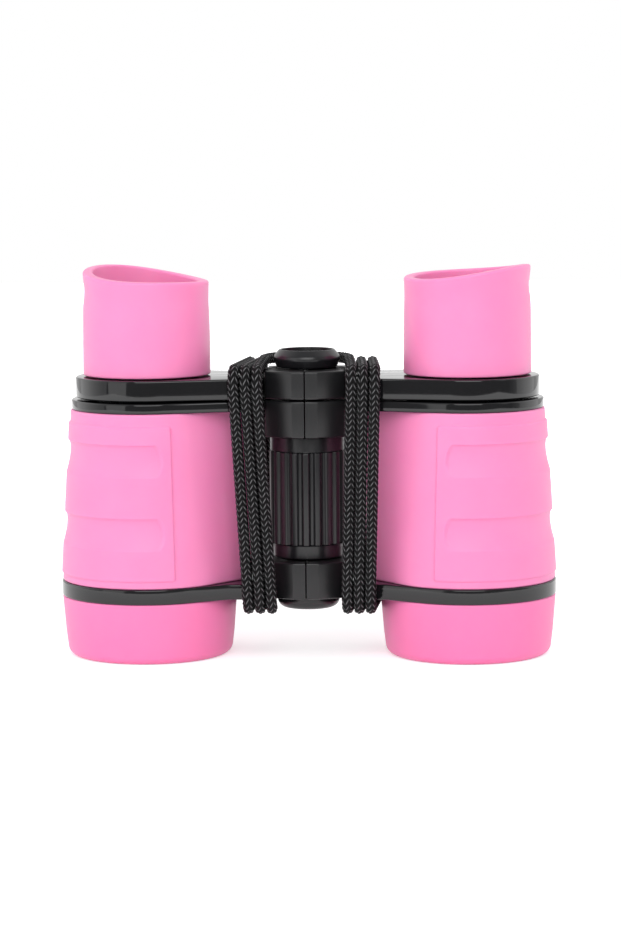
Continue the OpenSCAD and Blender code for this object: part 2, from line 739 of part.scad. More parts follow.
module eyecup(is_right) {
    turn = is_right ? right_cup_turn : -left_cup_turn;
    over = 2 * cup_r;
    color(pink) half(is_right) at_barrel() translate([0, 0, cup_z]) difference() {
        rotate_extrude() polygon([
            [cup_inner_r, 0],
            [cup_r, 0],
            [cup_r, cup_profile_shares[0] * cup_h],
            [cup_waist_r, cup_profile_shares[1] * cup_h],
            [cup_rim_r, cup_h],
            [cup_rim_r, cup_h + cup_r],
            [cup_inner_r, cup_h + cup_r]
        ]);
        translate([0, 0, cup_h]) rotate([0, 0, 180 + turn]) rotate([0, -cup_slope, 0])
            translate([-over, -over, 0]) cube([2 * over, 2 * over, over]);
    }
}

module focus_wheel() {
    journal_top = plate_top - end_gap;
    bore_z = screw_z - end_gap;
    color(black) difference() {
        union() {
            translate([0, 0, low_journal_z]) cylinder(r = low_journal_r, h = wheel_z - low_journal_z + overlap);
            translate([0, 0, low_row_top + end_gap]) cylinder(r = low_collar_r, h = low_collar_h + overlap);
            translate([0, 0, wheel_z]) cylinder(r = wheel_r, h = wheel_h);
            translate([0, 0, wheel_top - overlap])
                cylinder(r = top_collar_r, h = top_collar_h + overlap);
            translate([0, 0, wheel_top - overlap]) cylinder(r = top_journal_r, h = journal_top - wheel_top + overlap);
        }
        translate([0, 0, bore_z]) cylinder(r = screw_r + running_fit, h = journal_top - bore_z + cut);
        for (i = [0:wheel_ribs - 1])
            rotate([0, 0, 360 * (i + 0.5) / wheel_ribs])
                translate([wheel_r, 0, wheel_z - cut]) cylinder(r = groove_r, h = wheel_h + 2 * cut);
    }
}

module focus_screw() {
    screw_top = cap_z + cap_floor;
    color(steel) difference() {
        translate([0, 0, screw_z]) cylinder(r = screw_r, h = screw_top - screw_z);
        translate([0, 0, screw_top - cap_screw_l]) cylinder(r = cap_screw_r + seat_fit, h = cap_screw_l + cut);
    }
}

module top_cap() {
    bore_r = screw_r + seat_fit;
    color(black) translate([0, 0, cap_z]) rotate_extrude() polygon([
        [bore_r, 0],
        [cap_foot_r, 0],
        [cap_r, cap_wide_share * cap_h],
        [cap_rim_r, cap_h],
        [cap_recess_r, cap_h],
        [cap_recess_r, cap_floor],
        [bore_r, cap_floor]
    ]);
}

module cap_screw() {
    head_z = cap_z + cap_floor;
    color(steel) {
        translate([0, 0, head_z]) cylinder(r = cap_screw_head_r, h = cap_screw_head_h);
        translate([0, 0, head_z - cap_screw_l]) cylinder(r = cap_screw_r, h = cap_screw_l);
    }
}

module hinge_cap() {
    color(black) translate([0, 0, flange_z - end_gap]) {
        cylinder(r = low_journal_r, h = end_gap + hinge_spigot_l);
        rotate_extrude() polygon(concat(
            [[0, 0], [0, -hinge_cap_h]],
            [
                for (a = [-90:15:0])
                    [
                        hinge_cap_r - hinge_cap_round + hinge_cap_round * cos(a),
                        -hinge_cap_h + hinge_cap_round + hinge_cap_round * sin(a)
                    ]
            ],
            [[hinge_cap_r, 0]]
        ));
    }
}

module strap_winding(is_right) {
    color(black) half(is_right) cord_tube(is_right ? right_route : left_route);
}

module strap_knot(is_right) {
    color(black) half(is_right) translate([-ear_x, ear_y, plate_top]) intersection() {
        translate([0, 0, cord_d / 2]) sphere(knot_r);
        translate([-knot_r, -knot_r, 0]) cube([2 * knot_r, 2 * knot_r, 2 * knot_r]);
    }
}

barrel(false);  // left_barrel
barrel(true);  // right_barrel
armour(false);  // left_armour
armour(true);  // right_armour
top_plate(false);  // left_top_plate
top_plate(true);  // right_top_plate
plate_screws(false);  // left_plate_screws
plate_screws(true);  // right_plate_screws
objective_hood(false);  // left_objective_hood
objective_hood(true);  // right_objective_hood
objective_lens(false);  // left_objective_lens
objective_lens(true);  // right_objective_lens
retaining_ring(false);  // left_retaining_ring
retaining_ring(true);  // right_retaining_ring
eyepiece_arm(false);  // left_eyepiece_arm
eyepiece_arm(true);  // right_eyepiece_arm
eyepiece_tube(false);  // left_eyepiece_tube
eyepiece_tube(true);  // right_eyepiece_tube
ocular_lens(false);  // left_ocular_lens
ocular_lens(true);  // right_ocular_lens
ocular_ring(false);  // left_ocular_ring
ocular_ring(true);  // right_ocular_ring
eyecup(false);  // left_eyecup
eyecup(true);  // right_eyecup
focus_wheel();
focus_screw();
top_cap();
cap_screw();
hinge_cap();
strap_winding(false);  // left_strap_winding
strap_winding(true);  // right_strap_winding
strap_knot(false);  // left_strap_knot
strap_knot(true);  // right_strap_knot
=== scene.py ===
"""Looks of a pair of children's binoculars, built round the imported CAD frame.

Every size below is in millimetres in the part's own frame: +Z up along the barrels, the hinge on the
Z axis, the photographed front toward -Y. Meshes are turned into metres when they are made.
"""

import logging
import math
from collections.abc import Sequence
from dataclasses import dataclass, field
from enum import Enum
from typing import Any

import bmesh
import bpy
import numpy as np
from mathutils import Matrix, Vector


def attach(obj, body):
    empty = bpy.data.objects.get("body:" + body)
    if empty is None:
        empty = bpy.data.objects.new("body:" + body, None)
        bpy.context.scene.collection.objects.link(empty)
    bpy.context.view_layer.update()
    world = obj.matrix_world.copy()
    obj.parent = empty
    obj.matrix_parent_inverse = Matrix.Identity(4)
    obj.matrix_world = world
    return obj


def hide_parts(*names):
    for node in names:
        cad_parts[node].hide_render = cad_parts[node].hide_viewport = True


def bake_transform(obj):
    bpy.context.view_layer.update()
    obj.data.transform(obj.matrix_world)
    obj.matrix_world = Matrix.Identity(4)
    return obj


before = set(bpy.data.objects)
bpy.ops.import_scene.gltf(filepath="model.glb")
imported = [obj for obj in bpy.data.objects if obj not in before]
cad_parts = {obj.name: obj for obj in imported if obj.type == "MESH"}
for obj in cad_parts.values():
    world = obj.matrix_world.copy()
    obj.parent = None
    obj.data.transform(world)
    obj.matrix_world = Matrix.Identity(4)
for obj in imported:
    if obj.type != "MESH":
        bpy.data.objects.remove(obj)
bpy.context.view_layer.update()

LOG = logging.getLogger("binoculars")
MM = 0.001
AXIS_X = 36.5
# Place of a strap ear, outward from the hinge and back
EAR = (24, 16.8)
# Largest value of v sqrt(1 - v)
SCOOP_PEAK = 0.3849
Array = np.ndarray
Piece = bpy.types.Object
Tree = bpy.types.NodeTree
Socket = bpy.types.NodeSocket
Pattern = tuple[Any, dict[str, Any]]


class Side(Enum):
    """The two halves; the value is the sign of their x."""

    LEFT = -1
    RIGHT = 1

    @property
    def axis(self) -> tuple[float, float]:
        """Place of this side's barrel axis."""
        return (self.value * AXIS_X, 0)

    def names(self, *words: str) -> tuple[str, ...]:
        """Names of this side's pieces, nodes or bodies."""
        return tuple(f"{self.name.lower()}_{word}" for word in words)


# Numbers and outlines


def linear(code: str) -> tuple[float, float, float, float]:
    """Turns an sRGB hex colour into linear RGBA.

    Args:
        code: colour such as "#ff8cc3".

    Returns:
        Linear red, green, blue and an alpha of 1.
    """
    srgb = np.array([int(code[i : i + 2], 16) for i in (1, 3, 5)]) / 255
    rgb = np.where(srgb <= 0.04045, srgb / 12.92, ((srgb + 0.055) / 1.055) ** 2.4)
    return (float(rgb[0]), float(rgb[1]), float(rgb[2]), 1.0)


def ease(t: Array) -> Array:
    """Smooth step from 0 to 1: 3t^2 - 2t^3 with t held between 0 and 1."""
    u = np.clip(t, 0, 1)
    return u * u * (3 - 2 * u)


def unit(v: Array) -> Array:
    """Vectors of length 1 along the last axis."""
    return v / np.linalg.norm(v, axis=-1, keepdims=True)


def lengths(line: Array) -> Array:
    """Length along a line at each of its points."""
    return np.r_[0, np.cumsum(np.linalg.norm(np.diff(line, axis=0), axis=1))]


def quarter(r: float, steps: int) -> tuple[Array, Array]:
    """A rounded rim's quarter circle: r (1 - sin q) and r (1 - cos q) for q from 0 to 90 degrees."""
    q = np.linspace(0, np.pi / 2, steps)
    return r * (1 - np.sin(q)), r * (1 - np.cos(q))


def arc(centre: tuple[float, float], r: float, start: float, end: float, steps: int) -> Array:
    """Points on a circle: centre + r (cos a, sin a) for a from start to end.

    Args:
        centre: middle of the circle.
        r: its radius.
        start: first angle in degrees.
        end: last angle in degrees.
        steps: number of points.

    Returns:
        Array of shape (steps, 2).
    """
    a = np.radians(np.linspace(start, end, steps))
    return np.stack([centre[0] + r * np.cos(a), centre[1] + r * np.sin(a)], -1)


def rounded(corners: Sequence[Any], radii: Sequence[float], steps: int = 7) -> Array:
    """Rounds the corners of a closed outline.

    Each corner gives way to the circle of its radius that touches both its sides: the arc turns from one
    touching point to the other about the centre on the corner's bisector.

    Args:
        corners: outline of shape (n, 2).
        radii: rounding of each corner.
        steps: points on each rounding.

    Returns:
        Array of shape (n * steps, 2).
    """
    corners, radii = np.asarray(corners, float), np.maximum(np.asarray(radii, float), 1e-4)[:, None]
    u = unit(np.roll(corners, 1, 0) - corners)
    v = unit(np.roll(corners, -1, 0) - corners)
    half = np.arccos(np.clip((u * v).sum(-1, keepdims=True), -0.999999, 0.999999)) / 2
    centre = corners + unit(u + v) * radii / np.sin(half)
    first, last = corners + u * radii / np.tan(half) - centre, corners + v * radii / np.tan(half) - centre
    sweep = np.pi - 2 * half
    k = np.linspace(0, 1, steps)[None, :, None]
    w = sweep[:, None]
    turn = (np.sin((1 - k) * w) * first[:, None] + np.sin(k * w) * last[:, None]) / np.sin(w)
    return (centre[:, None] + turn).reshape(-1, 2)


# Finishes


def add(tree: Tree, kind: str, inputs: dict[str | int, Any] | None = None, **settings: Any) -> bpy.types.Node:
    """Adds one shader node with its settings and links.

    Args:
        tree: node tree of the material or world.
        kind: node type, without the ShaderNode in front.
        inputs: value, output socket, or node whose first output is meant, for each input by name or place.
        settings: properties of the node.

    Returns:
        The new node.
    """
    made = tree.nodes.new(f"ShaderNode{kind}")
    for key, value in settings.items():
        setattr(made, key, value)
    for key, value in (inputs or {}).items():
        if isinstance(value, bpy.types.Node):
            value = value.outputs[0]
        if isinstance(value, Socket):
            tree.links.new(value, made.inputs[key])
        else:
            made.inputs[key].default_value = value
    return made


def cleared(block: bpy.types.Material | bpy.types.World) -> Tree:
    """Empties the node tree of a new material or world.

    Args:
        block: the material or world.

    Returns:
        Its node tree.
    """
    block.use_nodes = True
    block.node_tree.nodes.clear()
    return block.node_tree


def per_metre(size: float) -> float:
    """Scale of a noise, in cells per metre, whose cells are this many millimetres."""
    return 1 / (size * MM)


@dataclass(frozen=True)
class Finish:
    """What a piece is made of: a colour that varies between two tones, and the rest of its shader."""

    name: str
    slot: str
    tone: str
    other: str

    def material(self) -> bpy.types.Material:
        """Makes the finish, once.

        Returns:
            The Blender material.
        """
        made = bpy.data.materials.get(self.name)
        if made:
            return made
        made = bpy.data.materials.new(self.name)
        tree = cleared(made)
        blend, sockets = self.pattern(tree, add(tree, "TexCoord").outputs["Object"])
        tones = {"Factor": blend, 6: linear(self.tone), 7: linear(self.other)}
        sockets["Base Color"] = add(tree, "Mix", tones, data_type="RGBA").outputs[2]
        add(tree, "OutputMaterial", {"Surface": add(tree, "BsdfPrincipled", sockets)})
        return made

    def pattern(self, tree: Tree, at: Socket) -> Pattern:
        """Adds the nodes that make the finish what it is.

        Args:
            tree: node tree of the material.
            at: place on the piece.

        Returns:
            Blend of the two tones, and what goes into the shader's other sockets.
        """
        raise NotImplementedError


@dataclass(frozen=True)
class MouldedRubber(Finish):
    """Thermoplastic rubber from a spark-eroded mould: satin, evenly grained, faintly cloudy, warm in depth."""

    roughness: float
    # Real spark grain is about 0.05 mm; it is drawn at 0.22 mm so that it shows as a soft tooth.
    grain: float = 0.22
    grain_depth: float = 0.006
    cloud: float = 11
    spread: float = 0.06

    def pattern(self, tree: Tree, at: Socket) -> Pattern:
        """Clouded pink, with a grain that breaks the gloss.

        Args:
            tree: node tree of the material.
            at: place on the piece.

        Returns:
            Blend of the two tones, and what goes into the shader's other sockets.
        """
        cloud = add(tree, "TexNoise", {"Vector": at, "Scale": per_metre(self.cloud), "Detail": 3.0})
        grain = add(tree, "TexNoise", {"Vector": at, "Scale": per_metre(self.grain), "Detail": 2.0})
        low, high = self.roughness - self.spread, self.roughness + self.spread
        relief = {"Height": grain, "Strength": 0.45, "Distance": self.grain_depth * MM}
        return cloud, {
            "Roughness": add(tree, "MapRange", {"Value": grain, 3: low, 4: high}),
            "Normal": add(tree, "Bump", relief),
            "IOR": 1.5,
            "Subsurface Weight": 0.25,
            "Subsurface Radius": (1.0, 0.35, 0.6),
            "Subsurface Scale": 0.003,
            "Sheen Weight": 0.06,
            "Sheen Roughness": 0.5,
        }


@dataclass(frozen=True)
class MouldedPlastic(Finish):
    """Black ABS from a polished mould: a hard gloss, slow flow waves and fine rubbed scratches."""

    roughness: float
    # The knuckles come satin out of the mould, this far to either side of the hinge, and fade to the gloss.
    satin_half: float = 0
    satin: float = 0.34
    fade: float = 0.3
    wave: float = 14
    # Real handling scratches are a few hundredths of a millimetre wide; drawn 0.12 mm wide so that they show.
    scratch: float = 0.12
    rubbed: float = 0.12

    def pattern(self, tree: Tree, at: Socket) -> Pattern:
        """Near-black whose gloss varies with rubbing and with the flow of the melt.

        Args:
            tree: node tree of the material.
            at: place on the piece.

        Returns:
            Blend of the two tones, and what goes into the shader's other sockets.
        """
        flow = add(tree, "TexNoise", {"Vector": at, "Scale": per_metre(self.wave), "Detail": 2.0})
        drawn = add(tree, "Mapping", {"Vector": at, "Rotation": (0.2, 0.5, 0.3), "Scale": (1.0, 0.06, 0.35)})
        rub = add(tree, "TexNoise", {"Vector": drawn, "Scale": per_metre(self.scratch), "Detail": 3.0})
        lines = add(tree, "MapRange", {"Value": rub, 1: 0.56, 2: 0.74})
        rough = add(tree, "MapRange", {"Value": lines, 3: self.roughness, 4: self.roughness + self.rubbed})
        if self.satin_half:
            off = add(tree, "Math", {0: add(tree, "SeparateXYZ", {0: at})}, operation="ABSOLUTE")
            low, high = self.satin_half * MM, (self.satin_half + self.fade) * MM
            polish = add(tree, "MapRange", {"Value": off, 1: low, 2: high, 3: self.satin, 4: 0.0})
            rough = add(tree, "Math", {0: rough, 1: polish}, operation="MAXIMUM")
        waves = add(tree, "Bump", {"Height": flow, "Strength": 0.25, "Distance": 0.05 * MM})
        relief = {"Height": lines, "Strength": 0.12, "Distance": 0.004 * MM, "Normal": waves}
        return flow, {"Roughness": rough, "Normal": add(tree, "Bump", relief, invert=True), "IOR": 1.53}


@dataclass(frozen=True)
class BraidedPolyester(Finish):
    """Braided polyester cord: black yarns in chevrons, each crest painted as a short bright highlight, a dash of
    filaments, in a dark gap.
    """

    slant: float = 1.05
    # Real filaments are about 0.02 mm; they are drawn 0.12 yarns apart, 0.16 mm, so that they show as streaks.
    filament: float = 0.12

    def height(self, along: Array, column: Array) -> Array:
        """Height of the yarns, 0 in the gaps to 1 on the crests.

        The yarns lean one way in one column and the other way in the next: their phase is the place along the
        cord in yarns plus the slant times a zigzag across the columns. Height = (0.5 + 0.5 cos 2 pi phase)
        times |sin pi column|^0.6.

        Args:
            along: place along the cord, in yarns.
            column: place round the cord, in columns.

        Returns:
            Array of heights.
        """
        zigzag = 1 - np.abs(1 - np.mod(column, 2))
        wave = 0.5 + 0.5 * np.cos(2 * np.pi * (along + self.slant * zigzag))
        return wave * np.abs(np.sin(np.pi * column)) ** 0.6

    def pattern(self, tree: Tree, at: Socket) -> Pattern:
        """The same yarn height from the UV map, which is yarns along and columns round: colour, gloss and bump. The
        colour paints a highlight on each crest.

        Args:
            tree: node tree of the material.
            at: place on the piece.

        Returns:
            Blend of the two tones, and what goes into the shader's other sockets.
        """
        lay = add(tree, "UVMap", uv_map="lay")
        split = add(tree, "SeparateXYZ", {0: lay}).outputs
        zigzag = add(tree, "Math", {0: split["Y"], 1: 1.0}, operation="PINGPONG")
        phase = add(tree, "Math", {0: zigzag, 1: self.slant, 2: split["X"]}, operation="MULTIPLY_ADD")
        turn = add(tree, "Math", {0: phase, 1: 2 * math.pi}, operation="MULTIPLY")
        wave = add(tree, "Math", {0: turn}, operation="COSINE")
        half = add(tree, "Math", {0: split["Y"], 1: math.pi}, operation="MULTIPLY")
        sine = add(tree, "Math", {0: half}, operation="SINE")
        ridge = add(tree, "Math", {0: sine}, operation="ABSOLUTE")
        arch = add(tree, "MapRange", {"Value": ridge, 1: 0.15, 2: 0.85})
        crest = add(tree, "MapRange", {"Value": wave, 1: 0.35, 2: 1.0})
        # Blend of the tones: a pale grey painted highlight on the yarn crests of the black cord.
        yarn = add(tree, "Math", {0: crest, 1: arch}, operation="MULTIPLY")
        fibres = {"Vector": lay, "Scale": 1 / self.filament, "Detail": 1.0}
        strand = add(tree, "TexNoise", fibres, noise_dimensions="2D")
        yarns = add(tree, "Bump", {"Height": yarn, "Strength": 0.7, "Distance": 0.2 * MM})
        relief = {"Height": strand, "Strength": 0.4, "Distance": 0.02 * MM, "Normal": yarns}
        return yarn, {
            "Roughness": add(tree, "MapRange", {"Value": yarn, 3: 0.7, 4: 0.35}),
            "Normal": add(tree, "Bump", relief),
            "IOR": 1.55,
            "Specular IOR Level": 0.14,
        }


@dataclass(frozen=True)
class MouldedLens(Finish):
    """Clear acrylic lens from a polished mould: see-through, with a very slight ripple and a cool tint."""

    ripple: float = 6

    def pattern(self, tree: Tree, at: Socket) -> Pattern:
        """Clear plastic that bends light, with the mould's ripple in its gloss.

        Args:
            tree: node tree of the material.
            at: place on the piece.

        Returns:
            Blend of the two tones, and what goes into the shader's other sockets.
        """
        wave = add(tree, "TexNoise", {"Vector": at, "Scale": per_metre(self.ripple), "Detail": 1.0})
        return wave, {
            "Roughness": add(tree, "MapRange", {"Value": wave, 3: 0.0, 4: 0.06}),
            "Normal": add(tree, "Bump", {"Height": wave, "Strength": 0.1, "Distance": 0.02 * MM}),
            "IOR": 1.49,
            "Transmission Weight": 1.0,
        }


@dataclass(frozen=True)
class TurnedSteel(Finish):
    """Plated steel screw, turned on a lathe: bright, with fine rings round its axis."""

    # Real turning marks are about 0.05 mm apart; drawn 1.6 mm apart, 2 pi times this, so that they show.
    ring: float = 0.25
    # The wave node's own count, by which its scale is divided.
    wave_rate: float = 20

    def pattern(self, tree: Tree, at: Socket) -> Pattern:
        """Metal with turning rings in its gloss and colour.

        Args:
            tree: node tree of the material.
            at: place on the piece.

        Returns:
            Blend of the two tones, and what goes into the shader's other sockets.
        """
        size = {"Vector": at, "Scale": per_metre(self.ring) / self.wave_rate, "Distortion": 0.6, "Detail": 2.0}
        ring = add(tree, "TexWave", size, wave_type="RINGS", rings_direction="Z").outputs["Fac"]
        return ring, {"Roughness": add(tree, "MapRange", {"Value": ring, 3: 0.22, 4: 0.36}), "Metallic": 1.0}


ARMOUR_RUBBER = MouldedRubber("sleeve_rubber_satin", "pink_armour", "#ff92c4", "#fc89bd", 0.46)
# The hoods' pink is deeper than the sleeve's: partly a deeper rubber and partly painted shade for the hoods, which sit
# lowest.
HOOD_RUBBER = MouldedRubber("hood_rubber_satin", "pink_hood", "#ff85bb", "#fb7cb4", 0.46)
CUP_RUBBER = MouldedRubber("eyecup_rubber_soft", "pink_rubber", "#ff92c4", "#fc88bd", 0.42)
GLOSS_BLACK = MouldedPlastic("abs_polished_black", "black_shell", "#101012", "#161618", 0.06, 9.3)
WHEEL_BLACK = MouldedPlastic("abs_satin_black", "black_wheel", "#141416", "#1b1b1e", 0.28)
DULL_BLACK = MouldedPlastic("abs_dull_black", "black_ring", "#101011", "#161617", 0.55)
# The pale second tone is a painted highlight on the yarn crests; the cord itself is the near-black first tone.
CORD_BLACK = BraidedPolyester("polyester_braid_black", "black_cord", "#050506", "#747476")
LENS_CLEAR = MouldedLens("acrylic_lens_clear", "lens_glass", "#f0f7f8", "#e6f1f4")
SCREW_STEEL = TurnedSteel("steel_turned_plated", "steel_screws", "#d3d4d6", "#a9abae")


# Meshes


@dataclass
class Skin:
    """Gathers closed surfaces, in millimetres, into the mesh of one piece."""

    points: list[Array] = field(default_factory=list)
    faces: list[list[int]] = field(default_factory=list)
    count: int = 0

    def grid(self, points: Array, wrap_rows: bool = False) -> Array:
        """Adds a surface given as points over two parameters; its last column joins the first.

        Args:
            points: array of shape (rows, columns, 3).
            wrap_rows: whether the last row joins the first.

        Returns:
            Index of each point, of shape (rows, columns).
        """
        rows, cols = points.shape[:2]
        index = np.arange(rows * cols).reshape(rows, cols) + self.count
        a = index if wrap_rows else index[:-1]
        b = np.roll(index, -1, 0) if wrap_rows else index[1:]
        c, d = np.roll(b, -1, 1), np.roll(a, -1, 1)
        self.points.append(points.reshape(-1, 3))
        self.faces.extend(np.stack([a, d, c, b], -1).reshape(-1, 4).tolist())
        self.count += rows * cols
        return index

    def lathe(self, profile: Array, centre: tuple[float, float] = (0, 0), turns: int = 160) -> None:
        """Adds a turned form: the closed profile (r, z) carried round the vertical line through centre.

        Args:
            profile: closed outline of shape (n, 2), radius and height.
            centre: place of the axis.
            turns: number of steps round the axis.
        """
        a = np.linspace(0, 2 * np.pi, turns, endpoint=False)
        r, z = profile[:, :1], profile[:, 1:]
        x, y, z = np.broadcast_arrays(centre[0] + r * np.cos(a), centre[1] + r * np.sin(a), z)
        self.grid(np.stack([x, y, z], -1), wrap_rows=True)

    def prism(
        self, outline: Array, low: float, high: float, edge: tuple[float, float], bore: Array | None = None
    ) -> None:
        """Adds an upright plate with rounded rims.

        The side is the outline carried up from low to high and drawn in along its normals by a quarter
        circle at each rim. A bore splits each end face into two: one on either side of the line through
        the first and the middle points of the outline and of the bore.

        Args:
            outline: closed outline of shape (n, 2), anticlockwise.
            low: height of the lower face.
            high: height of the upper face.
            edge: rounding of the lower and of the upper rim.
            bore: outline of a hole, anticlockwise.
        """
        along = np.roll(outline, -1, 0) - np.roll(outline, 1, 0)
        out = unit(np.stack([along[:, 1], -along[:, 0]], -1))
        (low_in, low_up), (high_down, high_in) = quarter(edge[0], 6), quarter(edge[1], 6)
        inset = np.r_[low_in, high_in]
        height = np.r_[low + low_up, high - high_down]
        plan = outline[None] - out[None] * inset[:, None, None]
        rows = np.concatenate([plan, np.broadcast_to(height[:, None, None], plan.shape[:2] + (1,))], -1)
        index = self.grid(rows)
        ends = [index[0], index[-1]]
        if bore is None:
            self.faces.extend(end.tolist() for end in ends)
            return
        wall = np.stack([np.c_[bore, np.full(len(bore), z)] for z in (low, high)])
        holes = self.grid(wall)
        m, k = len(outline) // 2, len(bore) // 2
        for end, hole in zip(ends, holes):
            self.faces.append([*end[: m + 1], *hole[: k + 1][::-1]])
            self.faces.append([*end[m:], end[0], hole[0], *hole[k:][::-1]])

    def piece(self, names: tuple[str, ...], finish: Finish, crease: float = 38) -> Piece:
        """Makes the object: doubles merged, normals outward, smooth except at sharp edges.

        Args:
            names: names of the piece, of the CAD node that it stands for and of the body that it moves with.
            finish: what it is made of.
            crease: edges that turn by more degrees than this stay sharp.

        Returns:
            The new object, at the origin.
        """
        mesh = bpy.data.meshes.new(names[0])
        mesh.from_pydata(np.concatenate(self.points) * MM, [], self.faces)
        work = bmesh.new()
        work.from_mesh(mesh)
        bmesh.ops.remove_doubles(work, verts=work.verts, dist=2e-7)
        bmesh.ops.recalc_face_normals(work, faces=work.faces)
        work.to_mesh(mesh)
        work.free()
        return settle(place(mesh, finish, crease), *names[1:])


def place(mesh: bpy.types.Mesh, finish: Finish, crease: float) -> Piece:
    """Shades a mesh, gives it its finish and puts it in the scene.

    Args:
        mesh: the mesh, in metres.
        finish: what it is made of.
        crease: edges that turn by more degrees than this stay sharp.

    Returns:
        The new object.
    """
    mesh.polygons.foreach_set("use_smooth", np.ones(len(mesh.polygons), bool))
    mesh.set_sharp_from_angle(angle=math.radians(crease))
    obj = bpy.data.objects.new(mesh.name, mesh)
    bpy.context.scene.collection.objects.link(obj)
    mesh.materials.append(finish.material())
    return obj


def settle(obj: Piece, node: str, body: str) -> Piece:
    """Hangs a piece on its body in place of a CAD node.

    Args:
        obj: the piece.
        node: CAD node that it stands for.
        body: CAD body that it moves with.

    Returns:
        The piece.
    """
    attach(obj, body)
    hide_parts(node)
    LOG.info("%s stands for %s on %s", obj.name, node, body)
    return obj


# The neck cord


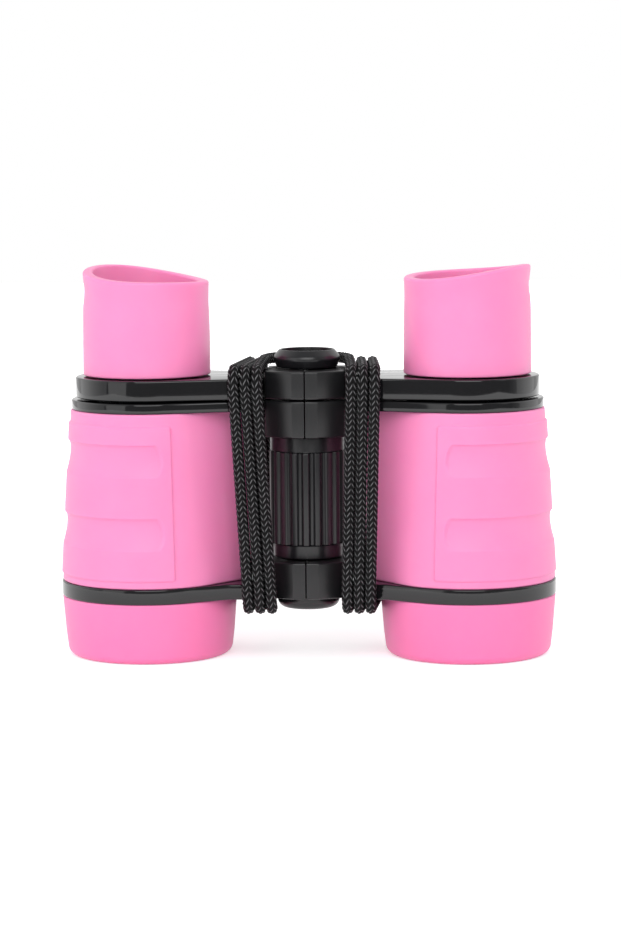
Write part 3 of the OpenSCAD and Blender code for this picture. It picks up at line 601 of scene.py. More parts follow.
@dataclass
class NeckCord:
    """One side's winding of the braided neck cord, from the knot on its ear to the middle behind the cap."""

    side: Side
    lean: float
    back_in: float
    d: float = 2.4
    pitch: float = 2.6
    strands: int = 3
    inner: float = 10.6
    back_lean: float = 1.4
    bend_r: float = 3.6
    bend_y: float = 10.529
    foot_z: float = 15.371
    top_z: float = 62.429
    ear_z: tuple[float, float] = (58.8, 56.5)
    loop_r: float = 9.7
    loop_z: float = 67.3
    # Height at which the cord starts to follow the eyepiece, and how far in and up it takes to do so.
    blend_z: float = 58
    blend_run: tuple[float, float] = (7.5, 2.5)
    yarn: float = 1.3
    columns: int = 8
    relief: float = 0.2
    # Share of the relief that lies below the cord's radius.
    sunk: float = 0.35
    rough_step: float = 0.5
    step: float = 0.165
    sides: int = 32
    knot_r: float = 0.95
    knot_sides: int = 24
    knot_size: tuple[float, float, float] = (0.52, 0.52, 0.899)
    knot_rise: float = 1.25

    def bend(self, corner: int, x: float) -> Array:
        """A quarter bend of the winding in its upright plane.

        The point at share t of a bend is its centre plus bend_r (cos a, sin a) with a = -90 (corner + t).

        Args:
            corner: 0 rear foot, 1 front foot, 2 front top, 3 rear top.
            x: distance of the strand from the hinge.

        Returns:
            Points of shape (n, 3).
        """
        y = self.bend_y * (1, -1, -1, 1)[corner]
        z = (self.foot_z, self.foot_z, self.top_z, self.top_z)[corner]
        turn = arc((y, z), self.bend_r, -90 * corner, -90 * (corner + 1), 12)
        return np.c_[np.full(len(turn), -x), turn]

    def strand(self, inner: float, i: int) -> float:
        """Distance of strand i from the hinge, counted from the outside."""
        return inner + self.pitch * (self.strands - 1 - i)

    def route(self) -> Array:
        """The cord's centre line, in millimetres.

        It goes from the ear down the back in a smooth step, then round and round the bridge in quarter bends
        joined by straight strands, and last up behind the cap on a circle to the middle.

        Returns:
            Evenly spaced points of shape (n, 3), on this side.
        """
        s = np.linspace(0, 1, 16, endpoint=False)[:, None]
        start = np.array([[-EAR[0], EAR[1], self.ear_z[1]]])
        rear = self.inner - self.back_in
        first = np.array([[-self.strand(rear, 0), self.bend_y + self.bend_r, self.foot_z]])
        lead = start + (first - start) * np.concatenate([ease(s), ease(s), s], 1)
        parts = [np.array([[-EAR[0], EAR[1], self.ear_z[0]]]), lead]
        for i in range(self.strands):
            parts.append(self.bend(0, self.strand(rear, i)))
            parts.append(self.bend(1, self.strand(self.inner - self.lean, i)))
            parts.append(self.bend(2, self.strand(self.inner, i)))
            if i < self.strands - 1:
                parts.append(self.bend(3, self.strand(rear + self.back_lean, i + 1)))
        s = np.linspace(0, 1, 9)[1:-1, None]
        last = np.array([[-self.inner, -self.bend_y, self.top_z + self.bend_r]])
        rise = last + (np.array([[-self.loop_r, 0, self.loop_z]]) - last) * np.concatenate([ease(s), s, ease(s)], 1)
        loop = arc((0, 0), self.loop_r, 180, 90, 24)
        parts += [rise, np.c_[loop, np.full(len(loop), self.loop_z)]]
        points = resample(np.concatenate(parts), self.rough_step)
        points[1:-1] = (points[:-2] + 2 * points[1:-1] + points[2:]) / 4
        points = resample(points, self.step)
        points[:, 0] *= -self.side.value
        return points

    def build(self) -> None:
        """Makes the braided tube and its knot; the knot hangs on the half, the tube stays where it is made."""
        winding, half, eyepiece = self.side.names("strap_winding", "half", "eyepiece")
        path = self.route()
        tube = self.tube(path)
        knot = self.knot()
        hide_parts(winding)
        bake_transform(tube)

    def tube(self, path: Array) -> Piece:
        """Sweeps the braid along the path; each side vector is the last one, made square to the path again.

        Args:
            path: centre line in millimetres.

        Returns:
            The piece.
        """
        tangent = unit(np.gradient(path, axis=0))
        side = np.empty_like(path)
        side[0] = unit(np.array([0.3, 1.0, 0.1]))
        for i in range(len(path)):
            last = side[max(i - 1, 0)]
            side[i] = unit(last - tangent[i] * (last @ tangent[i]))
        return self.sweep(self.side.names("neck_cord")[0], path, tangent, side, self.d / 2, self.sides, False)

    def sweep(
        self, name: str, path: Array, tangent: Array, side: Array, r: float, sides: int, closed: bool
    ) -> Piece:
        """Carries the braided circle along a line: path + (r + relief (height - sunk)) (cos a u + sin a w).

        Args:
            name: name of the piece.
            path: centre line in millimetres.
            tangent: direction of the line at each point.
            side: the vector u, square to it.
            r: radius of the cord.
            sides: points round it.
            closed: whether the line is a loop.

        Returns:
            The piece, with a UV map of yarns along and columns round.
        """
        other = np.cross(tangent, side)
        ends = np.r_[path, path[:1]] if closed else path
        s = lengths(ends) / self.yarn
        turn = np.arange(sides)[None] / sides
        height = CORD_BLACK.height(s[: len(path), None], turn * self.columns)
        out = (r + self.relief * (height - self.sunk))[..., None]
        a = 2 * np.pi * turn[..., None]
        rings = path[:, None] + out * (np.cos(a) * side[:, None] + np.sin(a) * other[:, None])
        skin = Skin()
        index = skin.grid(rings, wrap_rows=closed)
        quads = len(skin.faces)
        if not closed:
            skin.faces += [index[0].tolist(), index[-1][::-1].tolist()]
        mesh = bpy.data.meshes.new(name)
        mesh.from_pydata(rings.reshape(-1, 3) * MM, [], [f[::-1] for f in skin.faces])
        row, col = np.divmod(np.arange(quads), sides)
        along = s[row[:, None] + np.array([1, 1, 0, 0])]
        round_it = (col[:, None] + np.array([0, 1, 1, 0])) * self.columns / sides
        lay = np.zeros((len(mesh.loops), 2), np.float32)
        lay[: 4 * quads] = np.stack([along, round_it], -1).reshape(-1, 2)
        mesh.uv_layers.new(name="lay").data.foreach_set("uv", lay.reshape(-1))
        return place(mesh, CORD_BLACK, 80)

    def knot(self) -> Piece:
        """An overhand knot pulled tight on the ear.

        Its line is a trefoil (sin t + 2 sin 2t, cos t - 2 cos 2t, -sin 3t) pressed into a lump, with the
        braided section swept along it.

        Returns:
            The knot.
        """
        t = np.linspace(0, 2 * np.pi, 180, endpoint=False)
        line = np.stack([np.sin(t) + 2 * np.sin(2 * t), np.cos(t) - 2 * np.cos(2 * t), -np.sin(3 * t)], -1)
        line = line * self.knot_size + [self.side.value * EAR[0], EAR[1], self.ear_z[0] + self.knot_rise]
        tangent = unit(np.roll(line, -1, 0) - np.roll(line, 1, 0))
        side = unit(np.cross(tangent, [0, 0, 1.0]))
        name, node, body = self.side.names("cord_knot", "strap_knot", "half")
        return settle(self.sweep(name, line, tangent, side, self.knot_r, self.knot_sides, True), node, body)


def resample(points: Array, spacing: float) -> Array:
    """Spreads points evenly along a line.

    Args:
        points: line of shape (n, 3).
        spacing: wanted distance between points.

    Returns:
        Points at equal lengths along the line, its ends kept.
    """
    s = lengths(points)
    keep = np.r_[True, np.diff(s) > 1e-6]
    s, points = s[keep], points[keep]
    even = np.linspace(0, s[-1], int(round(s[-1] / spacing)) + 1)
    return np.stack([np.interp(even, s, points[:, k]) for k in range(3)], -1)


# Rubber pieces


@dataclass
class Eyecup:
    """A soft eyecup with a slanted saddle of a rim, a waist under its high side and a rounded lip."""

    side: Side
    high_side: float
    slant: float
    saddle_side: float
    height: float
    saddle: float
    foot_z: float = 64.2
    r: float = 14.5
    inner_r: float = 11.98
    taper: float = 0.16
    waist: float = 0.4
    # Drop of the waist's middle below the rim, its half width, and the share of it that the low side has.
    waist_drop: float = 4.6
    waist_half: float = 2.7
    waist_low: float = 0.2
    foot_round: float = 0.35
    lip: float = 0.6
    inner_lip: float = 0.5
    turns: int = 200

    def build(self) -> None:
        """Makes the cup.

        At angle a the wall is H = height + slant cos(a - high_side) + saddle cos 2(a - saddle_side) tall. Its
        outside goes up in shares of H, drawn in by a bell-shaped waist that is deepest below the high side; the
        lip is two quarter circles.
        """
        a = np.linspace(0, 2 * np.pi, self.turns, endpoint=False)[None]
        toward = np.cos(a - math.radians(self.high_side))
        dip = self.saddle * np.cos(2 * (a - math.radians(self.saddle_side)))
        tall = self.height + self.slant * toward + dip
        foot, lip, inner = (np.array(quarter(r, 9))[..., None] for r in (self.foot_round, self.lip, self.inner_lip))
        up = np.linspace(0, 1, 60)[:, None]
        wall_z = self.foot_round + up * (tall - self.lip - self.foot_round)
        share = self.waist_low + (1 - self.waist_low) * (1 + toward) / 2
        bell = np.exp(-(((tall - wall_z - self.waist_drop) / self.waist_half) ** 2)) * share
        wall_r = self.r - self.taper * ease(wall_z / self.height) - self.waist * bell
        bore_z = (tall - self.inner_lip) * (1 - np.linspace(0, 1, 24)[1:, None])
        parts = [
            (self.r - foot[0], foot[1] + 0 * a),
            (wall_r, wall_z),
            (wall_r[-1:] - lip[1], tall - lip[0]),
            (self.inner_r + inner[0], tall - inner[1]),
            (self.inner_r, bore_z),
        ]
        r = np.concatenate([np.broadcast_to(part[0], part[1].shape) for part in parts])
        z = np.concatenate([part[1] for part in parts])
        x, y = self.side.axis[0] + r * np.cos(a), r * np.sin(a)
        skin = Skin()
        skin.grid(np.stack([x, y, self.foot_z + z], -1), wrap_rows=True)
        skin.piece(self.side.names("soft_eyecup", "eyecup", "cup"), CUP_RUBBER)


@dataclass
class ArmourSleeve:
    """The rubber sleeve of a barrel: a tapered drop-shaped tube with a raised grip pad and two finger dents."""

    side: Side
    foot_z: float = 17.4
    height: float = 39.1
    foot_r: float = 19.9
    top_r: float = 17.5
    nose_r: float = 8
    nose_x: float = 15.3
    wall: float = 1.7
    rim: float = 0.45
    pad_start: float = 67
    pad_rise: float = 0.35
    pad_border: float = 0.5
    pad_corner: float = 0.8
    pad_z: tuple[float, float] = (18.9, 53.9)
    dents: tuple[tuple[float, float], ...] = ((25.9, 33.2), (42.3, 49.6))
    dent_depth: float = 0.7
    # Distance of a dent's end wall from the pad's border, how much more it is at the corners, and its width.
    dent_start: float = 2.2
    dent_bow: float = 1.2
    dent_wall: float = 0.8
    # Angle past the pad's border in which its step is drawn finely.
    fine: float = 4
    rows: int = 260

    def rise(self, angle: Array, r: Array, z: Array) -> Array:
        """How far the sleeve stands out from its plain taper.

        The pad is a rectangle with round corners in arc length and height, with a soft step at its border. Each
        dent is a scoop, deep as v sqrt(1 - v) from its foot v = 0 to its steep top v = 1, with a curved end wall.

        Args:
            angle: direction from the nose, in degrees.
            r: radius of the plain taper.
            z: height.

        Returns:
            Rise in millimetres.
        """
        s = np.radians(angle - self.pad_start) * r
        inside = np.minimum(z - self.pad_z[0], self.pad_z[1] - z)
        c = self.pad_corner
        corner = c - np.hypot(np.maximum(c - s, 0), np.maximum(c - inside, 0))
        pad = ease(np.where((s < c) & (inside < c), corner, np.minimum(s, inside)) / self.pad_border)
        hollow = 0 * pad
        for low, high in self.dents:
            v = np.clip((z - low) / (high - low), 0, 1)
            across = v * np.sqrt(1 - v) / SCOOP_PEAK
            end = ease((s - self.dent_start - self.dent_bow * (2 * v - 1) ** 2) / self.dent_wall)
            hollow = np.maximum(hollow, across * end)
        return np.where(angle >= self.pad_start, pad * (self.pad_rise - self.dent_depth * hollow), 0)

    def build(self) -> None:
        """Makes the sleeve.

        At each height the outline is the belt round two circles, the barrel's and the nose's: the point with
        normal angle t is centre + radius (cos t, sin t), with centre and radius sliding straight from one
        circle to the other where the belt leaves them. The rims are drawn in by a quarter circle.
        """
        top = self.foot_z + self.height
        middle = np.linspace(self.foot_z + self.rim, top - self.rim, self.rows)[1:-1]
        out, up = quarter(self.rim, 6)
        z = np.r_[self.foot_z + up, middle, top - out, top, self.foot_z][:, None]
        inset = np.r_[out, 0 * middle, up, self.wall, self.wall][:, None]
        r = self.foot_r + (self.top_r - self.foot_r) * (z - self.foot_z) / self.height
        leave = np.degrees(np.arccos((r - self.nose_r) / self.nose_x))
        k_nose, k_flank = np.linspace(0, 1, 22)[None], np.linspace(0, 1, 14)[None, 1:-1]
        k_plain = np.linspace(0, 1, 12)[None]
        fine = self.pad_start + self.fine
        pad = np.r_[np.linspace(self.pad_start, fine, 14)[1:], np.linspace(fine, 180, 110)[1:]][None]
        angle = np.concatenate(
            [leave * k_nose, leave + 0 * k_flank, leave + (self.pad_start - leave) * k_plain, 0 * r + pad], 1
        )
        along = np.concatenate([0 * k_nose, k_flank, 0 * k_plain + 1, 0 * pad + 1], 1)
        radius = (1 - along) * self.nose_r + along * r
        out = radius - inset + np.where(inset < self.wall, self.rise(angle, r, z), 0)
        x = (1 - along) * self.nose_x + out * np.cos(np.radians(angle))
        y = out * np.sin(np.radians(angle))
        x = np.concatenate([x, x[:, -2:0:-1]], 1)
        y = np.concatenate([-y, y[:, -2:0:-1]], 1)
        skin = Skin()
        place_x = self.side.value * (AXIS_X - x)
        skin.grid(np.stack([place_x, y, np.broadcast_to(z, x.shape)], -1), wrap_rows=True)
        skin.piece(self.side.names("grip_sleeve", "armour", "half"), ARMOUR_RUBBER)


@dataclass
class ObjectiveHood:
    """The rubber hood round an objective: slightly tapered, with a fat rounded foot and an open mouth."""

    side: Side
    height: float = 13.9
    top_r: float = 20
    foot_r: float = 18.9
    foot_round: float = 2.2
    foot_in: float = 0.25
    belly_z: float = 5.5
    belly: float = 0.42
    mouth_r: float = 14.6
    lip: float = 5
    inner_r: float = 17.42

    def build(self) -> None:
        """Turns the hood's rounded profile round its barrel's axis."""
        corners = [
            [self.mouth_r, 0], [self.foot_r - self.foot_in, 0], [self.foot_r + self.belly, self.belly_z],
            [self.top_r, self.height], [self.inner_r, self.height], [self.inner_r, self.lip], [self.mouth_r, self.lip],
        ]
        skin = Skin()
        skin.lathe(rounded(corners, [0.8, self.foot_round, 20, 0.35, 0.1, 0.1, 0.5], 12), self.side.axis, 220)
        skin.piece(self.side.names("lens_hood", "objective_hood", "half"), HOOD_RUBBER)


# Black pieces


class Level(Enum):
    """The three levels of the hinged frame."""

    FLANGE = "barrel"
    PLATE = "top_plate"
    ARM = "eyepiece_arm"


@dataclass
class HingedPlate:
    """One half of a level of the frame: a disc round the barrel, a web to the hinge, half a knuckle and an eye."""

    side: Side
    level: Level
    disc_r: float
    z: tuple[float, float]
    row: tuple[float, float]
    bore_r: float
    pin_r: float
    edge: float = 0.4
    web_half: float = 12
    flare: float = 17.5
    web_end: float = 10.6
    web_round: float = 3
    flank: float = 6.4
    knuckle_r: float = 9.1
    front: float = 12
    shoulder: float = 9.1
    facet: float = 2.9
    split: float = 0.15
    rear: float = 124
    eye_r: float = 6.9
    eye_clear: float = 0.3
    end_gap: float = 0.25
    # Distance from the hinge at which the neck ends inside the knuckle, and how far within the flanks.
    neck: float = 8
    neck_in: float = 0.5
    # Where the front split meets the round notch, in degrees.
    notch_start: float = 268.6
    ear_r: float = 3.2
    ear_hole: float = 1.35
    # Heights of the ear's straight sides on the web.
    ear_foot: tuple[float, float] = (12, 9)

    def flip(self, outline: Array) -> Array:
        """Turns a left outline into this side's, still anticlockwise from the same first point."""
        turned = np.roll((outline * [-1, 1])[::-1], 1, 0)
        return outline if self.side is Side.LEFT else turned

    def web_outline(self) -> Array:
        """Outline of disc, web and neck.

        The web leaves the disc on its tangent through (flare, web_half), and the neck starts with a parabola.

        Returns:
            Closed outline of the left half, anticlockwise.
        """
        across = AXIS_X - self.flare
        slope = math.atan2(self.web_half, across) + math.acos(self.disc_r / math.hypot(across, self.web_half))
        corner = (-self.web_end - self.web_round, -self.web_half + self.web_round)
        t = np.linspace(0, 1, 8)
        neck = np.c_[-self.web_end + (self.web_end - self.neck) * t**2, -self.flank - (1 - t) ** 2]
        lower = np.concatenate(
            [
                arc((-AXIS_X, 0), self.disc_r, 180, 360 - math.degrees(slope), 90),
                [[-self.flare, -self.web_half]],
                arc(corner, self.web_round, -90, 0, 12),
                neck,
                [[-self.neck, self.neck_in - self.flank]],
            ]
        )
        upper = (lower * [1, -1])[:0:-1]
        return np.concatenate([lower, [[-self.neck, 0]], upper])

    def knuckle_outline(self, notch: float) -> Array:
        """Outline of half a knuckle: a facetted front, a flank, a rear face cut for the fold, a round notch.

        Args:
            notch: radius of the notch.

        Returns:
            Closed outline of the left half, anticlockwise.
        """
        split = [-self.split, -self.front]
        cut = np.concatenate([[split], arc((0, 0), notch, self.notch_start, self.rear, 40)])
        corners = [
            [self.flank / math.tan(math.radians(self.rear)), self.flank],
            [-self.knuckle_r, self.flank],
            [-self.knuckle_r, -self.shoulder],
            [-self.facet, -self.front],
            split,
            [0, 0],
        ]
        steps = 7
        soft = rounded(corners, [0.3, 0.6, 0.6, 0.5, 0.01, 0.01], steps)
        return np.concatenate([cut, soft[: 4 * steps]])

    def build(self) -> None:
        """Makes the plate, the two storeys of its knuckle and its hinge eye.

        The storey that holds the eye is bored for the pin alone; the other one is cut round the eye of the
        opposite half. The left half's eye is the lower one.
        """
        skin = Skin()
        bore = self.flip(arc((-AXIS_X, 0), self.bore_r, 180, 540, 121)[:-1])
        skin.prism(self.flip(self.web_outline()), *self.z, (self.edge, self.edge), bore)
        low, high = self.row
        eye_h = (high - low - self.end_gap) / 2
        eye_low = self.side is Side.LEFT
        middle = low + eye_h if eye_low else high - eye_h
        notches = (self.pin_r, self.eye_r + self.eye_clear)[:: 1 if eye_low else -1]
        skin.prism(self.flip(self.knuckle_outline(notches[0])), low, middle, (self.edge, 0.0))
        skin.prism(self.flip(self.knuckle_outline(notches[1])), middle, high, (0.0, self.edge))
        foot, top = (low, middle) if eye_low else (middle, high)
        ring = [[self.pin_r, foot], [self.eye_r, foot], [self.eye_r, top], [self.pin_r, top]]
        skin.lathe(rounded(ring, [0.2] * 4), turns=96)
        if self.level is Level.FLANGE:
            skin.lathe(self.cell_profile(), self.side.axis, 200)
        if self.level is Level.PLATE:
            hole = self.flip(arc((-EAR[0], EAR[1]), self.ear_hole, 90, 450, 41)[:-1])
            skin.prism(self.flip(self.ear_outline()), *self.z, (0.3, 0.3), hole)
        body = "eyepiece" if self.level is Level.ARM else "half"
        names = self.side.names(f"{self.level.name.lower()}_black", self.level.value, body)
        skin.piece(names, GLOSS_BLACK, 32)

    def ear_outline(self) -> Array:
        """Outline of the strap ear: a half circle on straight sides that end inside the web.

        Returns:
            Closed outline of the left half, anticlockwise.
        """
        x, foot = -EAR[0], self.ear_foot
        back = arc((x, EAR[1]), self.ear_r, 90, 180, 16)
        half = np.concatenate([back, [[x - self.ear_r, foot[0]], [x - self.ear_r, foot[1]]]])
        other = (half * [-1, 1] + [2 * x, 0])[:0:-1]
        return np.concatenate([half, [[x, foot[1]]], other])

    def cell_profile(self) -> Array:
        """Inside of the barrel: the lens cell, the light bore and the guide of the eyepiece tube.

        Returns:
            Closed profile, radius and height.
        """
        corners = [
            [15.1, 5], [17.4, 5], [17.4, 13.95], [18.0, 17.5], [15.6, 56.4],
            [12.6, 56.4], [12.6, 44], [14.2, 44], [14.2, 10.9], [15.1, 10.9],
        ]
        return rounded(corners, [0.12] * len(corners), 4)


@dataclass
class HingeColumn:
    """What turns on the hinge axis: the ribbed focus wheel, the top cap with its screw, and the hinge cap."""

    wheel_r: float = 8.8
    ribs: int = 20
    rib_z: tuple[float, float] = (25.55, 46.85)
    collar_r: tuple[float, float] = (8.1, 8.5)
    collar_z: tuple[float, float] = (22.45, 50.25)
    groove: float = 0.62
    groove_depth: float = 0.7
    groove_fade: float = 0.1
    rib_steps: int = 28

    def build(self) -> None:
        """Makes the three turned pieces and dresses the CAD screws."""
        self.wheel()
        self.caps()
        for node in ("focus_screw", "cap_screw", "left_plate_screws", "right_plate_screws"):
            dress(node, SCREW_STEEL)

    def wheel(self) -> None:
        """Turns the wheel's profile, with ribs.

        Where the profile is outside the collars, its radius drops by depth * exp(-(d / width)^4), d being the
        distance round the wheel to the middle of the nearest groove.
        """
        low, high = self.rib_z
        (under, over), (foot, top) = self.collar_r, self.collar_z
        corners = [
            [4.05, 26.6], [4.05, 58.55], [5.6, 58.55], [5.6, top], [over, top], [over, high], [self.wheel_r, high],
            [self.wheel_r, low], [under, low], [under, foot], [5, foot], [5, 16.4], [0, 16.4], [0, 26.6],
        ]
        profile = rounded(corners, [0.1, 0.1, 0.2, 0.1, 0.3, 0.15, 0.35, 0.35, 0.15, 0.3, 0.1, 0.3, 0, 0])
        a = np.linspace(0, 2 * np.pi, self.ribs * self.rib_steps, endpoint=False)[None]
        r, z = profile[:, :1], profile[:, 1:]
        pitch = 2 * np.pi / self.ribs
        off = (np.mod(a, pitch) - pitch / 2) * self.wheel_r
        bell = np.exp(-((off / self.groove) ** 4))
        depth = self.groove_depth * bell * ease((r - over) / self.groove_fade)
        x, y, z = np.broadcast_arrays((r - depth) * np.cos(a), (r - depth) * np.sin(a), z)
        skin = Skin()
        skin.grid(np.stack([x, y, z], -1), wrap_rows=True)
        skin.piece(("ribbed_focus_wheel", "focus_wheel", "wheel"), WHEEL_BLACK, 40)

    def caps(self) -> None:
        """Turns the top cap, a ring with a bevelled shoulder and a recess, and the domed hinge cap."""
        top = [[4.02, 65.75], [6.85, 65.75], [7.8, 67.95], [6.3, 69.75], [5.9, 69.75], [5.9, 67.05], [4.02, 67.05]]
        skin = Skin()
        skin.lathe(rounded(top, [0.1, 0.5, 1.3, 0.2, 0.2, 0.4, 0.1], 10))
        skin.piece(("hinge_top_cap", "top_cap", "left_eyepiece"), WHEEL_BLACK)
        low = [[0, 10.65], [7.1, 10.65], [7.1, 13.65], [5, 13.65], [5, 15.85], [0, 15.85]]
        skin = Skin()
        skin.lathe(rounded(low, [0, 2.0, 0.25, 0.1, 0.2, 0], 12))
        skin.piece(("hinge_foot_cap", "hinge_cap", "left_half"), WHEEL_BLACK)


@dataclass
class Optics:
    """The lenses of one barrel with the rings and the tube that hold them."""

    side: Side
    lens_r: float = 15
    lens_z: float = 8.6
    lens_edge: float = 2
    crown: float = 1.6
    ocular_r: float = 9.7
    ocular_z: float = 75.7
    ocular_edge: float = 3
    dish: float = 0.9

    def lens(self, words: tuple[str, ...], r: float, z: float, edge: float, crown: float) -> None:
        """Turns a lens: each face is z +- crown (1 - (x / r)^2), with a small flat ground on its edge.

        Args:
            words: names of the piece, its node and its body, without the side.
            r: radius.
            z: height of the lower edge.
            edge: thickness at the edge.
            crown: bulge of each face, or hollow where negative.
        """
        x = np.linspace(0, 1, 40)
        bulge = crown * (1 - x**2)
        lower, upper = np.c_[r * x, z - bulge], np.c_[r * x, z + edge + bulge][::-1]
        skin = Skin()
        skin.lathe(np.concatenate([lower, upper]), self.side.axis, 120)
        skin.piece(self.side.names(*words), LENS_CLEAR)

    def build(self) -> None:
        """Makes both lenses and dresses the CAD rings and tube."""
        self.lens(("front_lens", "objective_lens", "half"), self.lens_r, self.lens_z, self.lens_edge, self.crown)
        eye = ("eye_lens", "ocular_lens", "eyepiece")
        self.lens(eye, self.ocular_r, self.ocular_z, self.ocular_edge, -self.dish)
        for node in self.side.names("retaining_ring", "eyepiece_tube", "ocular_ring"):
            dress(node, DULL_BLACK)


def dress(node: str, finish: Finish) -> None:
    """Gives a CAD node its finish.

    Args:
        node: name of the CAD node.
        finish: what it is made of.
    """
    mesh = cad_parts[node].data
    mesh.materials.clear()
    mesh.materials.append(finish.material())
    LOG.info("%s dressed in %s", node, finish.slot)


# The studio


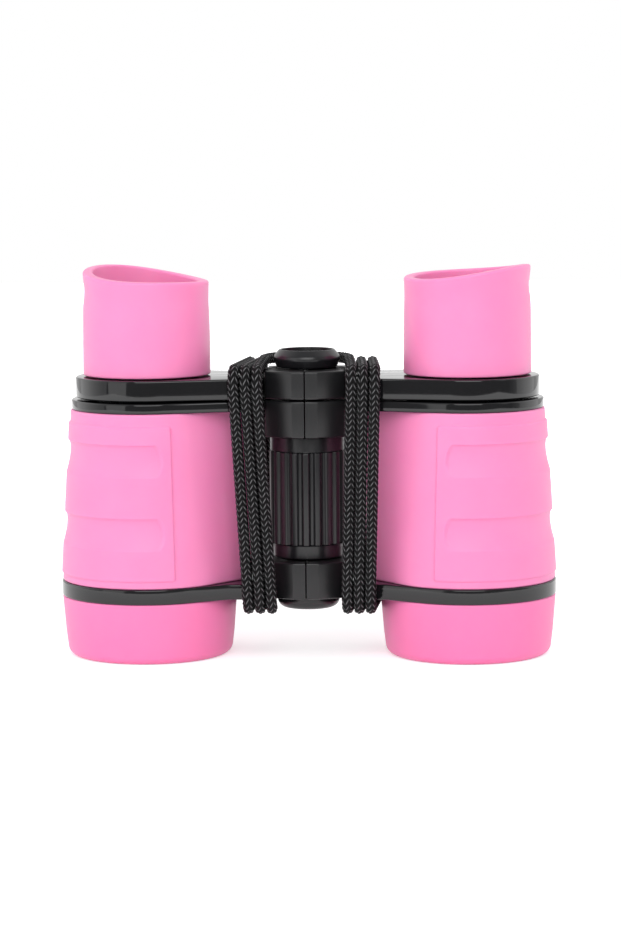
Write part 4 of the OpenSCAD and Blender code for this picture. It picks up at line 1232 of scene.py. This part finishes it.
@dataclass
class Studio:
    """Camera, floor and light of the photograph's plain white table."""

    azimuth: float = 3.0
    distance: float = 708
    eye_z: float = 125
    aim: tuple[float, float, float] = (0.64, 0, 43.05)
    roll: float = -0.5
    focal_px: float = 3121
    image_px: tuple[int, int] = (621, 931)
    lamp_far: float = 900
    lamp_aim_z: float = 40
    # Half width of the floor, and its near and far edges.
    floor_half: float = 420
    floor_y: tuple[float, float] = (-330, 1500)
    paper: float = 2.5
    room: float = 0.7

    def build(self) -> None:
        """Sets up the view, the floor, the lamps and the world."""
        self.camera()
        self.floor()
        self.lamp("box_left", -45, 13, (500, 1000), 1.1)
        self.lamp("wall_left", -95, 12, (1150, 900), 0.56)
        self.lamp("box_front", 4, 32, (620, 620), 2.95)
        self.lamp("strip_right", 62, 28, (160, 500), 0.68)
        self.lamp("wall_right", 108, 14, (800, 800), 0.53)
        self.world()
        bpy.context.scene.view_settings.view_transform = "Standard"

    def camera(self) -> None:
        """Puts the camera on its azimuth, aimed at the part, with the photograph's slight roll."""
        data = bpy.data.cameras.new("photo_camera")
        data.sensor_width = 36
        data.lens = self.focal_px * 36 / max(self.image_px)
        data.clip_start, data.clip_end = 0.01, 50
        cam = bpy.data.objects.new("photo_camera", data)
        a = math.radians(self.azimuth)
        eye = Vector((self.distance * math.sin(a), -self.distance * math.cos(a), self.eye_z)) * MM
        turn = (Vector(self.aim) * MM - eye).to_track_quat("-Z", "Y").to_matrix().to_4x4()
        cam.matrix_world = Matrix.Translation(eye) @ turn @ Matrix.Rotation(math.radians(self.roll), 4, "Z")
        bpy.context.scene.collection.objects.link(cam)
        bpy.context.scene.camera = cam

    def rays(self, tree: Tree) -> tuple[Socket, Socket]:
        """Adds the nodes that tell rays apart.

        Args:
            tree: node tree of a material or world.

        Returns:
            Whether a ray comes from the camera, and whether it comes from a gloss or a glass.
        """
        path = add(tree, "LightPath").outputs
        either = {0: path["Is Glossy Ray"], 1: path["Is Transmission Ray"]}
        return path["Is Camera Ray"], add(tree, "Math", either, operation="MAXIMUM").outputs[0]

    def floor(self) -> None:
        """A pale sheet under the hoods that runs back; it is lifted to white where it is seen and keeps the shadow."""
        mesh = bpy.data.meshes.new("studio_floor")
        wide, (near, far) = self.floor_half, self.floor_y
        sheet = np.array([(-wide, near, 0), (wide, near, 0), (wide, far, 0), (-wide, far, 0)]) * MM
        mesh.from_pydata(sheet.tolist(), [], [(0, 1, 2, 3)])
        obj = bpy.data.objects.new("studio_floor", mesh)
        bpy.context.scene.collection.objects.link(obj)
        made = bpy.data.materials.new("paper_floor_white")
        tree = cleared(made)
        place_of = add(tree, "TexCoord").outputs["Object"]
        fibre = add(tree, "TexNoise", {"Vector": place_of, "Scale": per_metre(self.paper), "Detail": 3.0})
        tones = {"Factor": fibre, 6: linear("#f0f0f0"), 7: linear("#f3f3f3")}
        sheet_colour = add(tree, "Mix", tones, data_type="RGBA").outputs[2]
        camera, mirror = self.rays(tree)
        shown = add(tree, "Math", {0: camera, 1: mirror}, operation="MAXIMUM")
        away = add(tree, "VectorMath", {0: place_of}, operation="LENGTH").outputs["Value"]
        white = add(tree, "MapRange", {"Value": away, 1: 0.08, 2: 0.4, 3: 0.5, 4: 0.95})
        lift = add(tree, "Math", {0: shown, 1: white}, operation="MULTIPLY")
        glow = add(tree, "Emission", {"Color": (1, 1, 1, 1), "Strength": lift})
        both = add(tree, "AddShader", {0: add(tree, "BsdfDiffuse", {"Color": sheet_colour}), 1: glow})
        add(tree, "OutputMaterial", {"Surface": both})
        mesh.materials.append(made)

    def lamp(self, name: str, azimuth: float, elevation: float, size: tuple[float, float], level: float) -> None:
        """Hangs a soft box that faces the part.

        Args:
            name: name of the lamp.
            azimuth: its direction in degrees, 0 at the photographed front and positive to the right.
            elevation: its height in degrees.
            size: its width and height in millimetres.
            level: how bright its face is, against 1 for white.
        """
        data = bpy.data.lights.new(name, "AREA")
        data.shape, data.size, data.size_y = "RECTANGLE", size[0] * MM, size[1] * MM
        data.energy = level * math.pi * data.size * data.size_y
        obj = bpy.data.objects.new(name, data)
        a, e = math.radians(azimuth), math.radians(elevation)
        way = Vector((math.sin(a) * math.cos(e), -math.cos(a) * math.cos(e), math.sin(e)))
        turn = (-way).to_track_quat("-Z", "Y").to_matrix().to_4x4()
        aim = Vector((0, 0, self.lamp_aim_z))
        obj.matrix_world = Matrix.Translation((aim + way * self.lamp_far) * MM) @ turn
        bpy.context.scene.collection.objects.link(obj)

    def world(self) -> None:
        """A pale room: plain white where it is seen, and to gloss and glass white behind the part, dim before it."""
        made = bpy.data.worlds.new("white_studio")
        tree = cleared(made)
        toward = add(tree, "TexCoord").outputs["Generated"]
        depth = add(tree, "SeparateXYZ", {0: toward}).outputs["Y"]
        drop = add(tree, "MapRange", {"Value": depth, 1: -0.35, 2: 0.25, 3: 0.24, 4: 1.0})
        camera, mirror = self.rays(tree)
        lit = add(tree, "Mix", {"Factor": mirror, 2: self.room, 3: drop}, data_type="FLOAT")
        level = add(tree, "Mix", {"Factor": camera, 2: lit, 3: 1.0}, data_type="FLOAT")
        back = add(tree, "Background", {"Color": (1, 1, 1, 1), "Strength": level})
        add(tree, "OutputWorld", {"Surface": back})
        bpy.context.scene.world = made


def main() -> None:
    """Builds the studio and the pieces in order."""
    logging.basicConfig(level=logging.INFO, format="%(name)s: %(message)s")
    Studio().build()
    cords = {Side.LEFT: (2.8, 1.0), Side.RIGHT: (1.2, 0.0)}
    rims = {Side.LEFT: (146, 1.6, 135, 22.5, 0.45), Side.RIGHT: (0, 1.3, -30, 23.06, 0.38)}
    for side in Side:
        NeckCord(side, *cords[side]).build()
        Eyecup(side, *rims[side]).build()
        ArmourSleeve(side).build()
        ObjectiveHood(side).build()
        HingedPlate(side, Level.FLANGE, 20.1, (13.9, 17.4), (13.9, 22.2), 14.2, 5.05).build()
        HingedPlate(side, Level.PLATE, 17.3, (56.5, 58.8), (50.5, 58.8), 12.0, 5.65).build()
        HingedPlate(side, Level.ARM, 16.3, (59.2, 63.9), (59.2, 65.5), 11.92, 4.05).build()
        Optics(side).build()
    HingeColumn().build()


if __name__ == "__main__":
    main()
